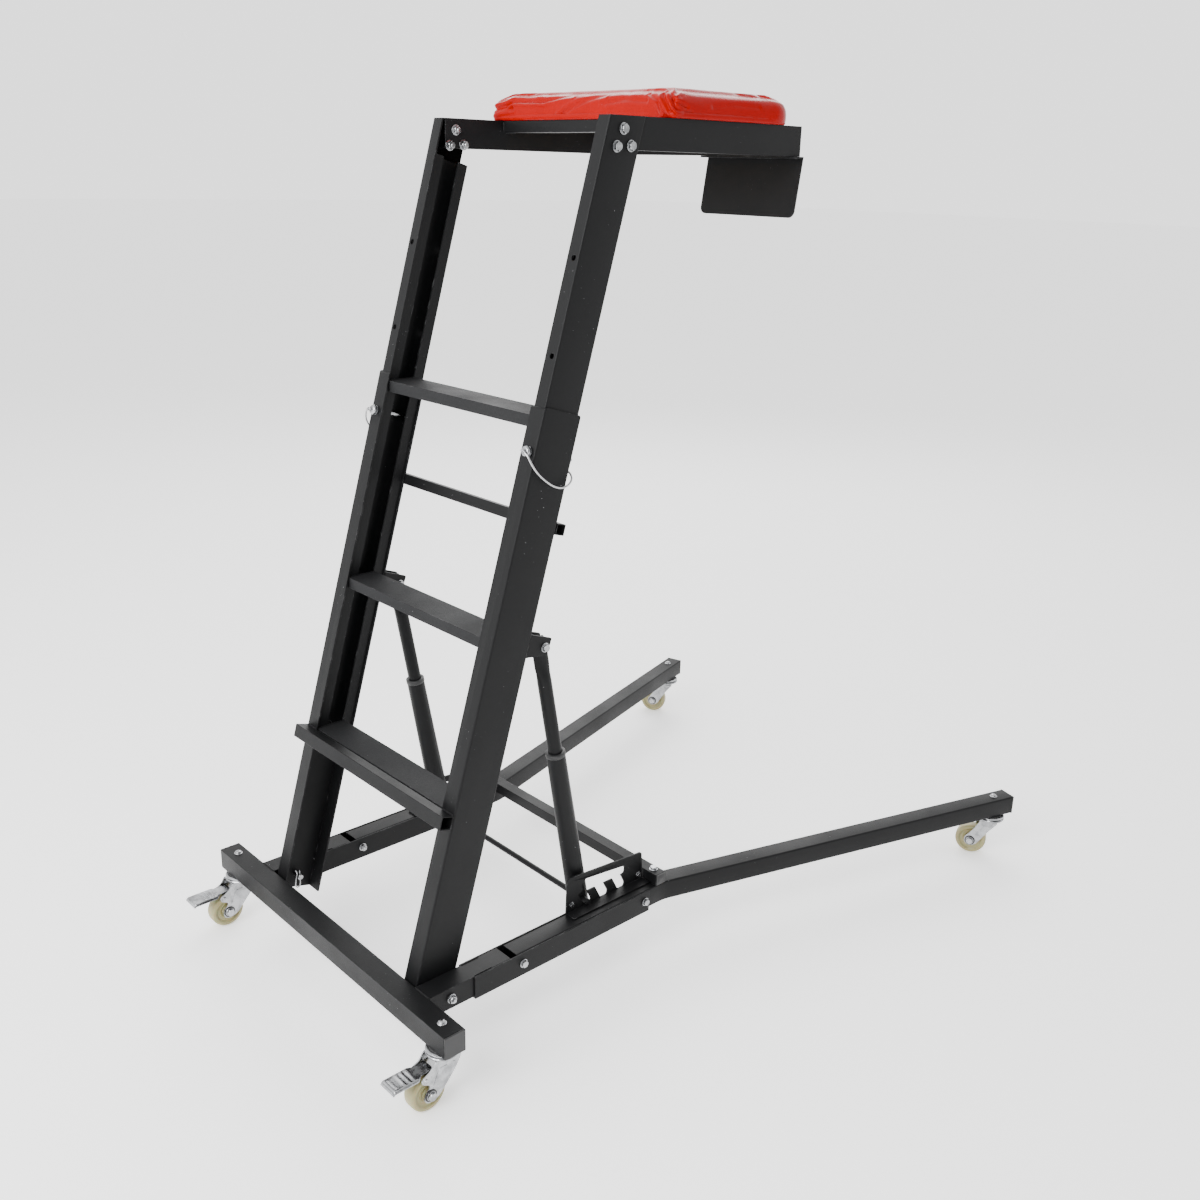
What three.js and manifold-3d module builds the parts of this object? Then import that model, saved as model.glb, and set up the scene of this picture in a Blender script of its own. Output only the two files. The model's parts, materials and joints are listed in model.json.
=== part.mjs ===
// Folding topside creeper: a wheeled base with splayed front legs, a leaning two-stage ladder
// held by telescoping struts, and a padded chest deck at the top.
// Units are millimetres. +Z is up, +X points from the rear crossbar to the front legs, and the
// object is the same on its near (-Y) and far (+Y) sides, apart from one flap under the deck.

import * as THREE from 'three';
import { mergeVertices } from 'three/addons/utils/BufferGeometryUtils.js';
import Module from 'manifold-3d';

const wasm = await Module();
wasm.setup();

// ---------------------------------------------------------------- driving dimensions

const GAP = 0.3; // space left between pieces that touch
const RUN = 0.5; // radial space round a pin or a rod that turns or slides

// casters
const WHEEL_RADIUS = 33;
const CASTER_CLEAR = 36; // top of the wheel to the underside of the base tubes
const WHEEL_WIDTH = 26;
const TRAIL = 36; // swivel axis to wheel axis
const FORK_SHEET = 2.5;
const FORK_HEAD_RADIUS = 28;
const AXLE_RADIUS = 4;
const REAR_CASTER_INSET = 33; // from the crossbar's end
const NEAR_CASTER_TURN = -66; // degrees a front caster has swivelled from trailing to the rear
const FAR_CASTER_TURN = -58;
const FRONT_CASTER_INSET = 38; // from the leg's end, along the leg
const PEDAL_LENGTH = 80;
const PEDAL_WIDTH = 40;

// base
const TUBE = 40; // outer size of the square base tubes
const WALL = 2; // their wall
const CROSSBAR_LENGTH = 746;
const STUB_LENGTH = 170;
const CHANNEL_SHEET = 3;
const CHANNEL_START = 111;
const CHANNEL_END = 523;
const LEG_START = 204;
const LEG_CORNER_X = 568; // where the two straight runs of a leg would meet
const LEG_BEND_TANGENT = 18;
const LEG_SPLAY = 17.1; // degrees
const LEG_END_X = 1405;
const CROSS_TUBE_X = 555;
const CROSS_TUBE_DEPTH = 25;
const CROSS_TUBE_HEIGHT = 22;
const CAP_FLANGE = 3;
const CAP_PLUG = 15;

// pivot
const PIVOT_AHEAD = 44; // in front of the crossbar's front face
const PIVOT_DROP = 20; // below the top of the base tubes
const PIVOT_RADIUS = 6;
const CLIP_WIRE = 1.4; // radius of the spring clip's wire

// ladder
const LEAN = 16; // degrees forward of upright
const LADDER_HALF = 233; // centre to the outer face of the lower rails
const LADDER_FIT = 0.7; // between the lower rails and the channels
const RAIL_REAR = -42; // rear and front faces, measured from the pivot across the rail
const RAIL_FRONT = 38;
const RAIL_SHEET = 3;
const LOWER_FLANGE = 34;
const LOWER_BOTTOM = -27; // along the rail, from the pivot
const LOWER_TOP = 981;
const LOWER_FOOT_ROUND = 26; // at the rear, where the rail swings past the crossbar
const LOWER_HEAD_ROUND = 9;
const SLIDE_FIT = 0.5; // between the flanges of the two rails
const WEB_FIT = 1; // between their webs
const UPPER_DEPTH_INBOARD = 26.3; // the upper rail's flange, web to lip
const UPPER_LIP = 20;
const UPPER_BOTTOM = 296;
const PIN_BELOW = 73; // lock pins, below the lower rails' tops
const PIN_INSET = 15.5; // from the lower rails' outer faces
const PIN_RADIUS = 4.5;
const PIN_TIP = 12; // how far the tip stands past the front flange
const PIN_HEAD_RADIUS = 9;
const PIN_HEAD = 10;
const HOLE_PITCH = 152.4;
const HOLES_BELOW = 3;
const HOLES_ABOVE = 2;
const STEPS_DOWN = 2; // pin holes the upper section can drop by
const LOW_BAR_AT = 294;
const LOW_BAR = 24;
const HIGH_BAR_BELOW = 186; // below the lower rails' tops
const HIGH_BAR = 19;
const CABLE_RADIUS = 1.6;

// rungs
const RUNG_TOPS = [918, 566, 285]; // above the base tubes
const RUNG_HEIGHT = 20;
const RUNG_DEPTH = 58;
const RUNG_SETBACK = 4; // from the rail's rear face

// struts
const STRUT_CLEAR = 2.7; // between a strut's sleeve and its channel
const STRUT_PIN_AT = 596; // bracket bolt, along the rail
const STRUT_PIN_OUT = 75; // and in front of the pivot line
const STRUT_PIN_RADIUS = 4;
const BRACKET_WIDTH = 32;
const BRACKET_HEIGHT = 40;
const BRACKET_SHEET = 3;
const SLEEVE_RADIUS = 17;
const SLEEVE_FOOT_HALF = 21; // half its width at the foot, where it is pressed wider
const SLEEVE_LENGTH = 318; // from the rod to the mouth
const SLEEVE_FOOT = 14; // below the rod
const SLEEVE_WALL = 2;
const STRUT_FIT = 2.5; // between a strut's sleeve and its inner tube
const INNER_WALL = 2;
const INNER_END_CLEAR = 20; // inner tube's end to the rod, with the strut shortened
const STRUT_SHORTENING = 105; // how much the strut may shorten from rest
const TONGUE = 6; // thickness of the inner tube's flattened end
const ROD_RADIUS = 5.5;
const ROD_DROP = 0.8; // below the middle of a notch's round bottom, which leaves the tilt its play
const ROD_OVERHANG = 6; // past the notch plates

// notch plates
const PLATE_SHEET = 3;
const PLATE_START = 348;
const PLATE_END = 541;
const PLATE_HEIGHT = 74; // at its rear end
const PLATE_FRONT_HEIGHT = 59;
const PLATE_FOOT = 22;
const NOTCH_X = [398.7, 440.5, 484];
const NOTCH_Z = 10; // centre of the round bottom above the base tubes
const NOTCH_WIDTH = 19;
const NOTCH_TILT = 28; // degrees the notches lean back
const TOOTH_TOP = 33;

// deck
const DECK_TOP = 1365; // above the base tubes
const BEAM_HEIGHT = 50;
const BEAM_WIDTH = 24;
const BEAM_END = 882;
const STRIP_X = 572;
const STRIP_DEPTH = 30;
const STRIP_HEIGHT = 20;
const FLAP_OVERHANG = 1; // past the lower rail's outer face
const FLAP_WIDTH = 225;
const FLAP_DROP = 101;
const FLAP_BACK = 16; // how far its lower edge is set back
const FLAP_SHEET = 3;
const FLAP_ROUND = 12;
const BOARD = 12;
const PAD_REAR = 550;
const PAD_FRONT = 866;
const PAD_OVERHANG = 3; // past the lower rails' outer faces
const PAD_HEIGHT = 46;
const PAD_REAR_ROUND = 13;
const PAD_FRONT_ROUND = 60;
const PAD_COVER = 9; // foam and vinyl beside the board

// ---------------------------------------------------------------- derived places

const CASTER_HEIGHT = 2 * WHEEL_RADIUS + CASTER_CLEAR;
const REAR_CASTER_Y = CROSSBAR_LENGTH / 2 - REAR_CASTER_INSET;
const BASE_TOP = CASTER_HEIGHT + TUBE;
const CHANNEL_IN = LADDER_HALF + LADDER_FIT;
// centre line of stubs, channels and the straight part of the legs
const STUB_Y = CHANNEL_IN + CHANNEL_SHEET + GAP + TUBE / 2;
const PIVOT_X = TUBE / 2 + PIVOT_AHEAD;
const PIN_AT = LOWER_TOP - PIN_BELOW;
const PIN_Y = LADDER_HALF - PIN_INSET;
const HIGH_BAR_AT = LOWER_TOP - HIGH_BAR_BELOW;
const STRUT_Y = CHANNEL_IN - STRUT_CLEAR - SLEEVE_RADIUS;
const INNER_RADIUS = SLEEVE_RADIUS - SLEEVE_WALL - STRUT_FIT;
const PAD_HALF = LADDER_HALF + PAD_OVERHANG;
const FLAP_FROM = -LADDER_HALF - FLAP_OVERHANG;
const FLAP_TO = FLAP_FROM + FLAP_WIDTH;
const lean = THREE.MathUtils.degToRad(LEAN);
const PIVOT_Z = BASE_TOP - PIVOT_DROP;
const UPPER_REAR = RAIL_REAR + RAIL_SHEET + SLIDE_FIT;
const UPPER_FRONT = RAIL_FRONT - RAIL_SHEET - SLIDE_FIT;
const UPPER_OUT = LADDER_HALF - RAIL_SHEET - WEB_FIT;
const LIP_PLANE = UPPER_OUT - UPPER_DEPTH_INBOARD;
const BEAM_OUT = UPPER_OUT - RAIL_SHEET - GAP;
const BEAM_IN = BEAM_OUT - BEAM_WIDTH;
const DECK_Z = BASE_TOP + DECK_TOP;
const PLATE_IN = STUB_Y - TUBE / 2 + 0.8;
const ROD_Z = NOTCH_Z - ROD_DROP;

// a place on the ladder, given across and along the rail, in the base's X and Z
function onLadder(across, along) {
  return new THREE.Vector2(
    PIVOT_X + across * Math.cos(lean) + along * Math.sin(lean),
    PIVOT_Z - across * Math.sin(lean) + along * Math.cos(lean),
  );
}

const strutTop = onLadder(STRUT_PIN_OUT, STRUT_PIN_AT);
const rod = new THREE.Vector2(NOTCH_X[0], BASE_TOP + ROD_Z);
const STRUT_LENGTH = strutTop.distanceTo(rod);
const strutLean = Math.atan2(strutTop.x - rod.x, strutTop.y - rod.y);

// ---------------------------------------------------------------- materials

function finish(color, roughness, metalness) {
  return () => new THREE.MeshStandardMaterial({ color, roughness, metalness });
}

const blackCoat = finish(0x1d1e20, 0.55, 0.2);
const zinc = finish(0xb9bcc0, 0.35, 1);
const nylon = finish(0xd8cf9c, 0.4, 0);
const blackPlastic = finish(0x111112, 0.6, 0);
const redVinyl = finish(0xc8200c, 0.25, 0);
const plywood = finish(0x8c6b45, 0.8, 0);
const stepPaint = finish(0x303134, 0.75, 0.1);

// ---------------------------------------------------------------- shape helpers

function solid(geometry) {
  const bare = geometry.clone();
  bare.deleteAttribute('normal');
  bare.deleteAttribute('uv');
  const merged = mergeVertices(bare, 1e-4);
  return new wasm.Manifold(new wasm.Mesh({
    numProp: 3,
    vertProperties: new Float32Array(merged.attributes.position.array),
    triVerts: new Uint32Array(merged.index.array),
  }));
}

function geometryOf(manifold) {
  const result = manifold.getMesh();
  const geometry = new THREE.BufferGeometry();
  geometry.setAttribute('position', new THREE.BufferAttribute(result.vertProperties, 3));
  geometry.setIndex(new THREE.BufferAttribute(result.triVerts, 1));
  geometry.computeVertexNormals();
  return geometry;
}

function cut(geometry, ...tools) {
  return geometryOf(tools.reduce((left, tool) => left.subtract(solid(tool)), solid(geometry)));
}

function join(...pieces) {
  return geometryOf(pieces.map(solid).reduce((a, b) => a.add(b)));
}

function common(a, b) {
  return geometryOf(solid(a).intersect(solid(b)));
}

// a box between two corners
function block(x0, x1, y0, y1, z0, z1) {
  const box = new THREE.BoxGeometry(x1 - x0, Math.abs(y1 - y0), z1 - z0);
  return box.translate((x0 + x1) / 2, (y0 + y1) / 2, (z0 + z1) / 2);
}

// a round bar along an axis, between two places on it
function bar(axis, radius, from, to, centre, sides = 12) {
  const cylinder = new THREE.CylinderGeometry(radius, radius, Math.abs(to - from), sides);
  if (axis === 'x') {
    cylinder.rotateZ(Math.PI / 2);
  }
  if (axis === 'z') {
    cylinder.rotateX(Math.PI / 2);
  }
  const middle = (from + to) / 2;
  const [a, b] = centre;
  if (axis === 'x') {
    return cylinder.translate(middle, a, b);
  }
  if (axis === 'y') {
    return cylinder.translate(a, middle, b);
  }
  return cylinder.translate(a, b, middle);
}

// a closed outline from points, each with an optional corner radius
function outline(points) {
  const shape = new THREE.Shape();
  const count = points.length;
  for (let i = 0; i < count; i += 1) {
    const here = new THREE.Vector2(points[i][0], points[i][1]);
    const before = new THREE.Vector2(...points[(i + count - 1) % count]);
    const after = new THREE.Vector2(...points[(i + 1) % count]);
    const radius = points[i][2] || 0;
    const toBefore = before.sub(here).normalize();
    const toAfter = after.sub(here).normalize();
    const half = Math.acos(THREE.MathUtils.clamp(toBefore.dot(toAfter), -1, 1)) / 2;
    const reach = radius / Math.tan(half);
    const start = here.clone().addScaledVector(toBefore, reach);
    const end = here.clone().addScaledVector(toAfter, reach);
    if (i === 0) {
      shape.moveTo(start.x, start.y);
    } else {
      shape.lineTo(start.x, start.y);
    }
    if (radius > 0) {
      const bisector = toBefore.clone().add(toAfter).normalize();
      const centre = here.clone().addScaledVector(bisector, radius / Math.sin(half));
      const a0 = Math.atan2(start.y - centre.y, start.x - centre.x);
      const a1 = Math.atan2(end.y - centre.y, end.x - centre.x);
      const clockwise = toBefore.cross(toAfter) > 0;
      shape.absarc(centre.x, centre.y, radius, a0, a1, clockwise);
    }
  }
  shape.closePath();
  return shape;
}

function extrude(shape, depth, curveSegments = 4) {
  return new THREE.ExtrudeGeometry(shape, { depth, bevelEnabled: false, curveSegments });
}

// an outline in X and Z, extruded across Y between two places
function sidePlate(points, y0, y1, curveSegments = 4) {
  const plate = extrude(outline(points), Math.abs(y1 - y0), curveSegments);
  plate.rotateX(Math.PI / 2);
  return plate.translate(0, Math.max(y0, y1), 0);
}

function rotatedY(geometry, degrees, x, z) {
  geometry.translate(-x, 0, -z);
  geometry.rotateY(THREE.MathUtils.degToRad(degrees));
  return geometry.translate(x, 0, z);
}

// a square tube along an axis, with open ends
function squareTube(axis, from, to, centre, width, height, wall) {
  const [a, b] = centre;
  const size = [width / 2, height / 2];
  const make = (shrink, stretch) => {
    const h = size.map((value) => value - shrink);
    if (axis === 'x') {
      return block(from - stretch, to + stretch, a - h[0], a + h[0], b - h[1], b + h[1]);
    }
    return block(a - h[0], a + h[0], from - stretch, to + stretch, b - h[1], b + h[1]);
  };
  return cut(make(0, 0), make(wall, 1));
}

const model = new THREE.Group();

function add(name, geometry, material, group = model) {
  const mesh = new THREE.Mesh(geometry, material());
  mesh.name = name;
  group.add(mesh);
  return mesh;
}

const SIDES = [['near', -1], ['far', 1]];

// ---------------------------------------------------------------- base

function crossbar() {
  const half = CROSSBAR_LENGTH / 2;
  const tube = squareTube('y', -half, half, [0, BASE_TOP - TUBE / 2], TUBE, TUBE, WALL);
  add('rear_crossbar', tube, blackCoat);
  for (const [side, sign] of SIDES) {
    add(`crossbar_cap_${side}`, endCap().rotateZ(sign * Math.PI / 2)
      .translate(0, sign * half, BASE_TOP - TUBE / 2), blackPlastic);
  }
}

// an end cap for a base tube that runs along +X and ends at the origin
function endCap() {
  const plug = TUBE / 2 - WALL - GAP;
  const half = TUBE / 2;
  return join(
    block(GAP, GAP + CAP_FLANGE, -half, half, -half, half),
    block(-CAP_PLUG, GAP + 1, -plug, plug, -plug, plug),
  );
}

function stubs() {
  for (const [side, sign] of SIDES) {
    const start = TUBE / 2 + GAP;
    const tube = squareTube('x', start, start + STUB_LENGTH, [sign * STUB_Y, BASE_TOP - TUBE / 2],
      TUBE, TUBE, WALL);
    const reach = STUB_Y + TUBE;
    const hole = bar('y', PIVOT_RADIUS + RUN, sign * (STUB_Y - TUBE), sign * reach,
      [PIVOT_X, PIVOT_Z]);
    add(`side_stub_${side}`, cut(tube, hole), blackCoat);
  }
}

// the open-topped channel that joins a stub to its leg
function channels() {
  const inner = TUBE / 2 + GAP;
  const outer = inner + CHANNEL_SHEET;
  for (const [side, sign] of SIDES) {
    const y = sign * STUB_Y;
    const bottom = CASTER_HEIGHT - GAP;
    const trough = cut(
      block(CHANNEL_START, CHANNEL_END, y - outer, y + outer, bottom - CHANNEL_SHEET, BASE_TOP),
      block(CHANNEL_START - 1, CHANNEL_END + 1, y - inner, y + inner, bottom, BASE_TOP + 1),
    );
    add(`side_channel_${side}`, trough, blackCoat);
  }
}

const splay = THREE.MathUtils.degToRad(LEG_SPLAY);
const legEnd = new THREE.Vector2(
  LEG_END_X,
  STUB_Y + (LEG_END_X - LEG_CORNER_X) * Math.tan(splay),
);

// plan of a leg's tube: a straight run, a bend and a splayed run, `half` each side of its middle
function legPlan(half, overrun) {
  const radius = LEG_BEND_TANGENT / Math.tan(splay / 2);
  const centre = [LEG_CORNER_X - LEG_BEND_TANGENT, STUB_Y + radius];
  const along = new THREE.Vector2(Math.cos(splay), Math.sin(splay));
  const across = new THREE.Vector2(-along.y, along.x);
  const tip = legEnd.clone().addScaledVector(along, overrun);
  const shape = new THREE.Shape();
  shape.moveTo(LEG_START - overrun, STUB_Y - half);
  shape.absarc(...centre, radius + half, -Math.PI / 2, splay - Math.PI / 2, false);
  const outerTip = tip.clone().addScaledVector(across, -half);
  const innerTip = tip.clone().addScaledVector(across, half);
  shape.lineTo(outerTip.x, outerTip.y);
  shape.lineTo(innerTip.x, innerTip.y);
  shape.absarc(...centre, radius - half, splay - Math.PI / 2, -Math.PI / 2, true);
  shape.lineTo(LEG_START - overrun, STUB_Y + half);
  shape.closePath();
  return shape;
}

function legs() {
  const bendSteps = 8;
  const outer = extrude(legPlan(TUBE / 2, 0), TUBE, bendSteps).translate(0, 0, CASTER_HEIGHT);
  const bore = extrude(legPlan(TUBE / 2 - WALL, 1), TUBE - 2 * WALL, bendSteps)
    .translate(0, 0, CASTER_HEIGHT + WALL);
  const tube = cut(outer, bore);
  for (const [side, sign] of SIDES) {
    add(`leg_${side}`, mirrored(tube, sign), blackCoat);
    const cap = endCap().rotateZ(splay)
      .translate(legEnd.x, legEnd.y, BASE_TOP - TUBE / 2);
    add(`leg_cap_${side}`, mirrored(cap, sign), blackPlastic);
  }
}

// the same piece on the other side of the object
function mirrored(geometry, sign) {
  if (sign > 0) {
    return geometry.clone();
  }
  return geometryOf(solid(geometry).mirror([0, 1, 0]));
}

function frontCrossTube() {
  const half = STUB_Y + TUBE / 2;
  const z = BASE_TOP + GAP + CROSS_TUBE_HEIGHT / 2;
  const tube = squareTube('y', -half, half, [CROSS_TUBE_X, z],
    CROSS_TUBE_DEPTH, CROSS_TUBE_HEIGHT, WALL);
  add('front_cross_tube', tube, blackCoat);
}

// upright plates whose notches hold the strut rod, each with a foot on its leg
function notchPlates() {
  const z = BASE_TOP + GAP;
  const half = NOTCH_WIDTH / 2;
  let plate = sidePlate([
    [PLATE_START, z],
    [PLATE_END, z],
    [PLATE_END - 3, z + PLATE_FRONT_HEIGHT, 6],
    [PLATE_START + 2, z + PLATE_HEIGHT, 7],
  ], PLATE_IN, PLATE_IN + PLATE_SHEET);
  const window = sidePlate([
    [NOTCH_X[0] - 4, BASE_TOP + TOOTH_TOP - 2, 6],
    [NOTCH_X[2] + 9, BASE_TOP + TOOTH_TOP - 2, 6],
    [NOTCH_X[2] + 10, BASE_TOP + 47, 5],
    [NOTCH_X[0] - 4, BASE_TOP + 58, 6],
    [NOTCH_X[0] - 16, BASE_TOP + 48, 6],
  ], PLATE_IN - 1, PLATE_IN + PLATE_SHEET + 1);
  plate = cut(plate, window, ...NOTCH_X.map((x) => {
    const slot = sidePlate([
      [x - half, BASE_TOP + NOTCH_Z - half, half - 0.1],
      [x + half, BASE_TOP + NOTCH_Z - half, half - 0.1],
      [x + half, BASE_TOP + TOOTH_TOP + 6],
      [x - half, BASE_TOP + TOOTH_TOP + 6],
    ], PLATE_IN - 1, PLATE_IN + PLATE_SHEET + 1, 5);
    return rotatedY(slot, -NOTCH_TILT, x, BASE_TOP + NOTCH_Z);
  }));
  const outside = PLATE_IN + PLATE_SHEET;
  const foot = block(PLATE_START, PLATE_END, outside - 1, outside + PLATE_FOOT, z, z + PLATE_SHEET);
  plate = join(plate, foot);
  for (const [side, sign] of SIDES) {
    add(`notch_plate_${side}`, mirrored(plate, sign), blackCoat);
  }
}

// the ladder's hinge pins, each kept in by a spring clip through its inner end
function pivotPins() {
  const outside = STUB_Y + TUBE / 2 + GAP;
  const inside = UPPER_OUT - RAIL_SHEET - 14;
  const clipY = inside + 5;
  const shaft = join(
    bar('y', PIVOT_RADIUS, inside, outside + 1, [PIVOT_X, PIVOT_Z]),
    bar('y', PIVOT_RADIUS + 4, outside, outside + 5, [PIVOT_X, PIVOT_Z]),
  );
  const eye = bar('z', CLIP_WIRE + GAP, PIVOT_Z - 20, PIVOT_Z + 20, [PIVOT_X, clipY], 8);
  const pin = cut(shaft, eye);
  const swing = PIVOT_RADIUS + CLIP_WIRE + GAP + 0.3;
  const clipPath = new THREE.CatmullRomCurve3([
    new THREE.Vector3(0, 0, 14),
    new THREE.Vector3(0, 0, 0),
    new THREE.Vector3(0, 0, -15),
    new THREE.Vector3(-5, 0, -23),
    new THREE.Vector3(-10, 0, -17),
    new THREE.Vector3(-swing - 1, 0, -9),
    new THREE.Vector3(-swing, 0, 0),
    new THREE.Vector3(-swing + 2.4, 0, 9),
    new THREE.Vector3(-swing - 1, 0, 17),
  ]);
  const clip = wire(clipPath, CLIP_WIRE, 20).translate(PIVOT_X, clipY, PIVOT_Z);
  for (const [side, sign] of SIDES) {
    add(`pivot_pin_${side}`, mirrored(pin, sign), zinc);
    add(`spring_clip_${side}`, mirrored(clip, sign), zinc);
  }
}

function wire(path, radius, steps) {
  const section = new THREE.Shape();
  const sides = 8;
  for (let i = 0; i < sides; i += 1) {
    const angle = 2 * Math.PI * i / sides;
    const place = [radius * Math.cos(angle), radius * Math.sin(angle)];
    if (i === 0) {
      section.moveTo(...place);
    } else {
      section.lineTo(...place);
    }
  }
  section.closePath();
  return new THREE.ExtrudeGeometry(section, { steps, extrudePath: path });
}

// ---------------------------------------------------------------- ladder

// In the ladder's own frame X runs across the rails (forward), Z along them, and the origin is
// the pivot.
const ladder = new THREE.Group();
ladder.position.set(PIVOT_X, 0, PIVOT_Z);
ladder.rotation.y = lean;
model.add(ladder);

function lowerRails() {
  const inner = LADDER_HALF - LOWER_FLANGE;
  const corner = 4;
  const section = outline([
    [RAIL_REAR, inner],
    [RAIL_REAR + RAIL_SHEET, inner],
    [RAIL_REAR + RAIL_SHEET, LADDER_HALF - RAIL_SHEET],
    [RAIL_FRONT - RAIL_SHEET, LADDER_HALF - RAIL_SHEET],
    [RAIL_FRONT - RAIL_SHEET, inner],
    [RAIL_FRONT, inner],
    [RAIL_FRONT, LADDER_HALF, corner],
    [RAIL_REAR, LADDER_HALF, corner],
  ]);
  const length = LOWER_TOP - LOWER_BOTTOM;
  const bent = extrude(section, length, 3).translate(0, 0, LOWER_BOTTOM);
  const profile = sidePlate([
    [RAIL_REAR - 1, LOWER_BOTTOM, LOWER_FOOT_ROUND],
    [RAIL_FRONT + 1, LOWER_BOTTOM, 3],
    [RAIL_FRONT + 1, LOWER_TOP, LOWER_HEAD_ROUND],
    [RAIL_REAR - 1, LOWER_TOP, LOWER_HEAD_ROUND],
  ], inner - 1, LADDER_HALF + 1, 6);
  const rail = cut(
    common(bent, profile),
    bar('x', PIN_RADIUS + RUN, RAIL_REAR - 1, RAIL_FRONT + 1, [PIN_Y, PIN_AT]),
    bar('y', PIVOT_RADIUS + RUN, inner, LADDER_HALF + 1, [0, 0]),
  );
  for (const [side, sign] of SIDES) {
    add(`lower_rail_${side}`, mirrored(rail, sign), blackCoat, ladder);
  }
}

function crossBars() {
  const low = squareTube('y', -LADDER_HALF, LADDER_HALF,
    [RAIL_REAR - GAP - LOW_BAR / 2, LOW_BAR_AT], LOW_BAR, LOW_BAR, WALL);
  add('lower_cross_bar', low, blackCoat, ladder);
  const high = squareTube('y', -LADDER_HALF, LADDER_HALF,
    [RAIL_FRONT + GAP + HIGH_BAR / 2, HIGH_BAR_AT], HIGH_BAR, HIGH_BAR, WALL);
  add('front_cross_bar', high, blackCoat, ladder);
}

// U-shaped brackets that carry the tops of the struts
function strutBrackets() {
  const half = BRACKET_WIDTH / 2;
  const tip = STRUT_PIN_OUT + 11;
  const foot = RAIL_FRONT + GAP;
  const bottom = STRUT_PIN_AT - BRACKET_HEIGHT / 2;
  const top = STRUT_PIN_AT + BRACKET_HEIGHT / 2;
  const body = sidePlate([
    [foot, bottom],
    [tip - 3, STRUT_PIN_AT - 13, 6],
    [tip, STRUT_PIN_AT + 17, 3],
    [foot, top],
  ], STRUT_Y - half, STRUT_Y + half);
  const slot = half - BRACKET_SHEET;
  const bracket = cut(
    body,
    block(foot + BRACKET_SHEET, tip + 1, STRUT_Y - slot, STRUT_Y + slot, bottom - 1, top + 1),
    bar('y', STRUT_PIN_RADIUS + GAP, STRUT_Y - half - 1, STRUT_Y + half + 1,
      [STRUT_PIN_OUT, STRUT_PIN_AT]),
  );
  for (const [side, sign] of SIDES) {
    add(`strut_bracket_${side}`, mirrored(bracket, sign), blackCoat, ladder);
  }
}

function upperRails() {
  const lip = LIP_PLANE + RAIL_SHEET;
  const web = UPPER_OUT - RAIL_SHEET;
  const section = outline([
    [UPPER_REAR, LIP_PLANE],
    [UPPER_REAR + UPPER_LIP, LIP_PLANE],
    [UPPER_REAR + UPPER_LIP, lip],
    [UPPER_REAR + RAIL_SHEET, lip],
    [UPPER_REAR + RAIL_SHEET, web],
    [UPPER_FRONT - RAIL_SHEET, web],
    [UPPER_FRONT - RAIL_SHEET, lip],
    [UPPER_FRONT - UPPER_LIP, lip],
    [UPPER_FRONT - UPPER_LIP, LIP_PLANE],
    [UPPER_FRONT, LIP_PLANE],
    [UPPER_FRONT, UPPER_OUT, 3],
    [UPPER_REAR, UPPER_OUT, 3],
  ]);
  const level = (across) => (DECK_TOP + PIVOT_DROP + across * Math.sin(lean)) / Math.cos(lean);
  const bent = extrude(section, level(UPPER_FRONT) + 5 - UPPER_BOTTOM, 3)
    .translate(0, 0, UPPER_BOTTOM);
  const profile = sidePlate([
    [UPPER_REAR - 1, UPPER_BOTTOM],
    [UPPER_FRONT + 1, UPPER_BOTTOM],
    [UPPER_FRONT + 1, level(UPPER_FRONT + 1)],
    [UPPER_REAR - 1, level(UPPER_REAR - 1)],
  ], LIP_PLANE - 1, UPPER_OUT + 1);
  const holes = [];
  for (let step = -HOLES_BELOW; step <= HOLES_ABOVE; step += 1) {
    holes.push(bar('x', PIN_RADIUS + RUN, UPPER_REAR - 1, UPPER_FRONT + 1,
      [PIN_Y, PIN_AT + step * HOLE_PITCH]));
  }
  // room for the pivot pin at the lowest setting
  const slotHalf = PIVOT_RADIUS + 2.5;
  const slotTop = STEPS_DOWN * HOLE_PITCH + 1;
  const pinSlot = [
    block(-slotHalf, slotHalf, web - 1, UPPER_OUT + 1, UPPER_BOTTOM - 1, slotTop),
    bar('y', slotHalf, web - 1, UPPER_OUT + 1, [0, slotTop]),
  ];
  // the front flange and the lips stop short of the deck beam
  const beam = block(UPPER_REAR + RAIL_SHEET, UPPER_FRONT + 40, LIP_PLANE - 1, web + 0.01,
    level(UPPER_REAR) - (BEAM_HEIGHT + 1) / Math.cos(lean) - 8, level(UPPER_FRONT) + 40);
  const rail = cut(common(bent, profile), ...holes, ...pinSlot, beam);
  for (const [side, sign] of SIDES) {
    add(`upper_rail_${side}`, mirrored(rail, sign), blackCoat, ladder);
  }
}

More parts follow.
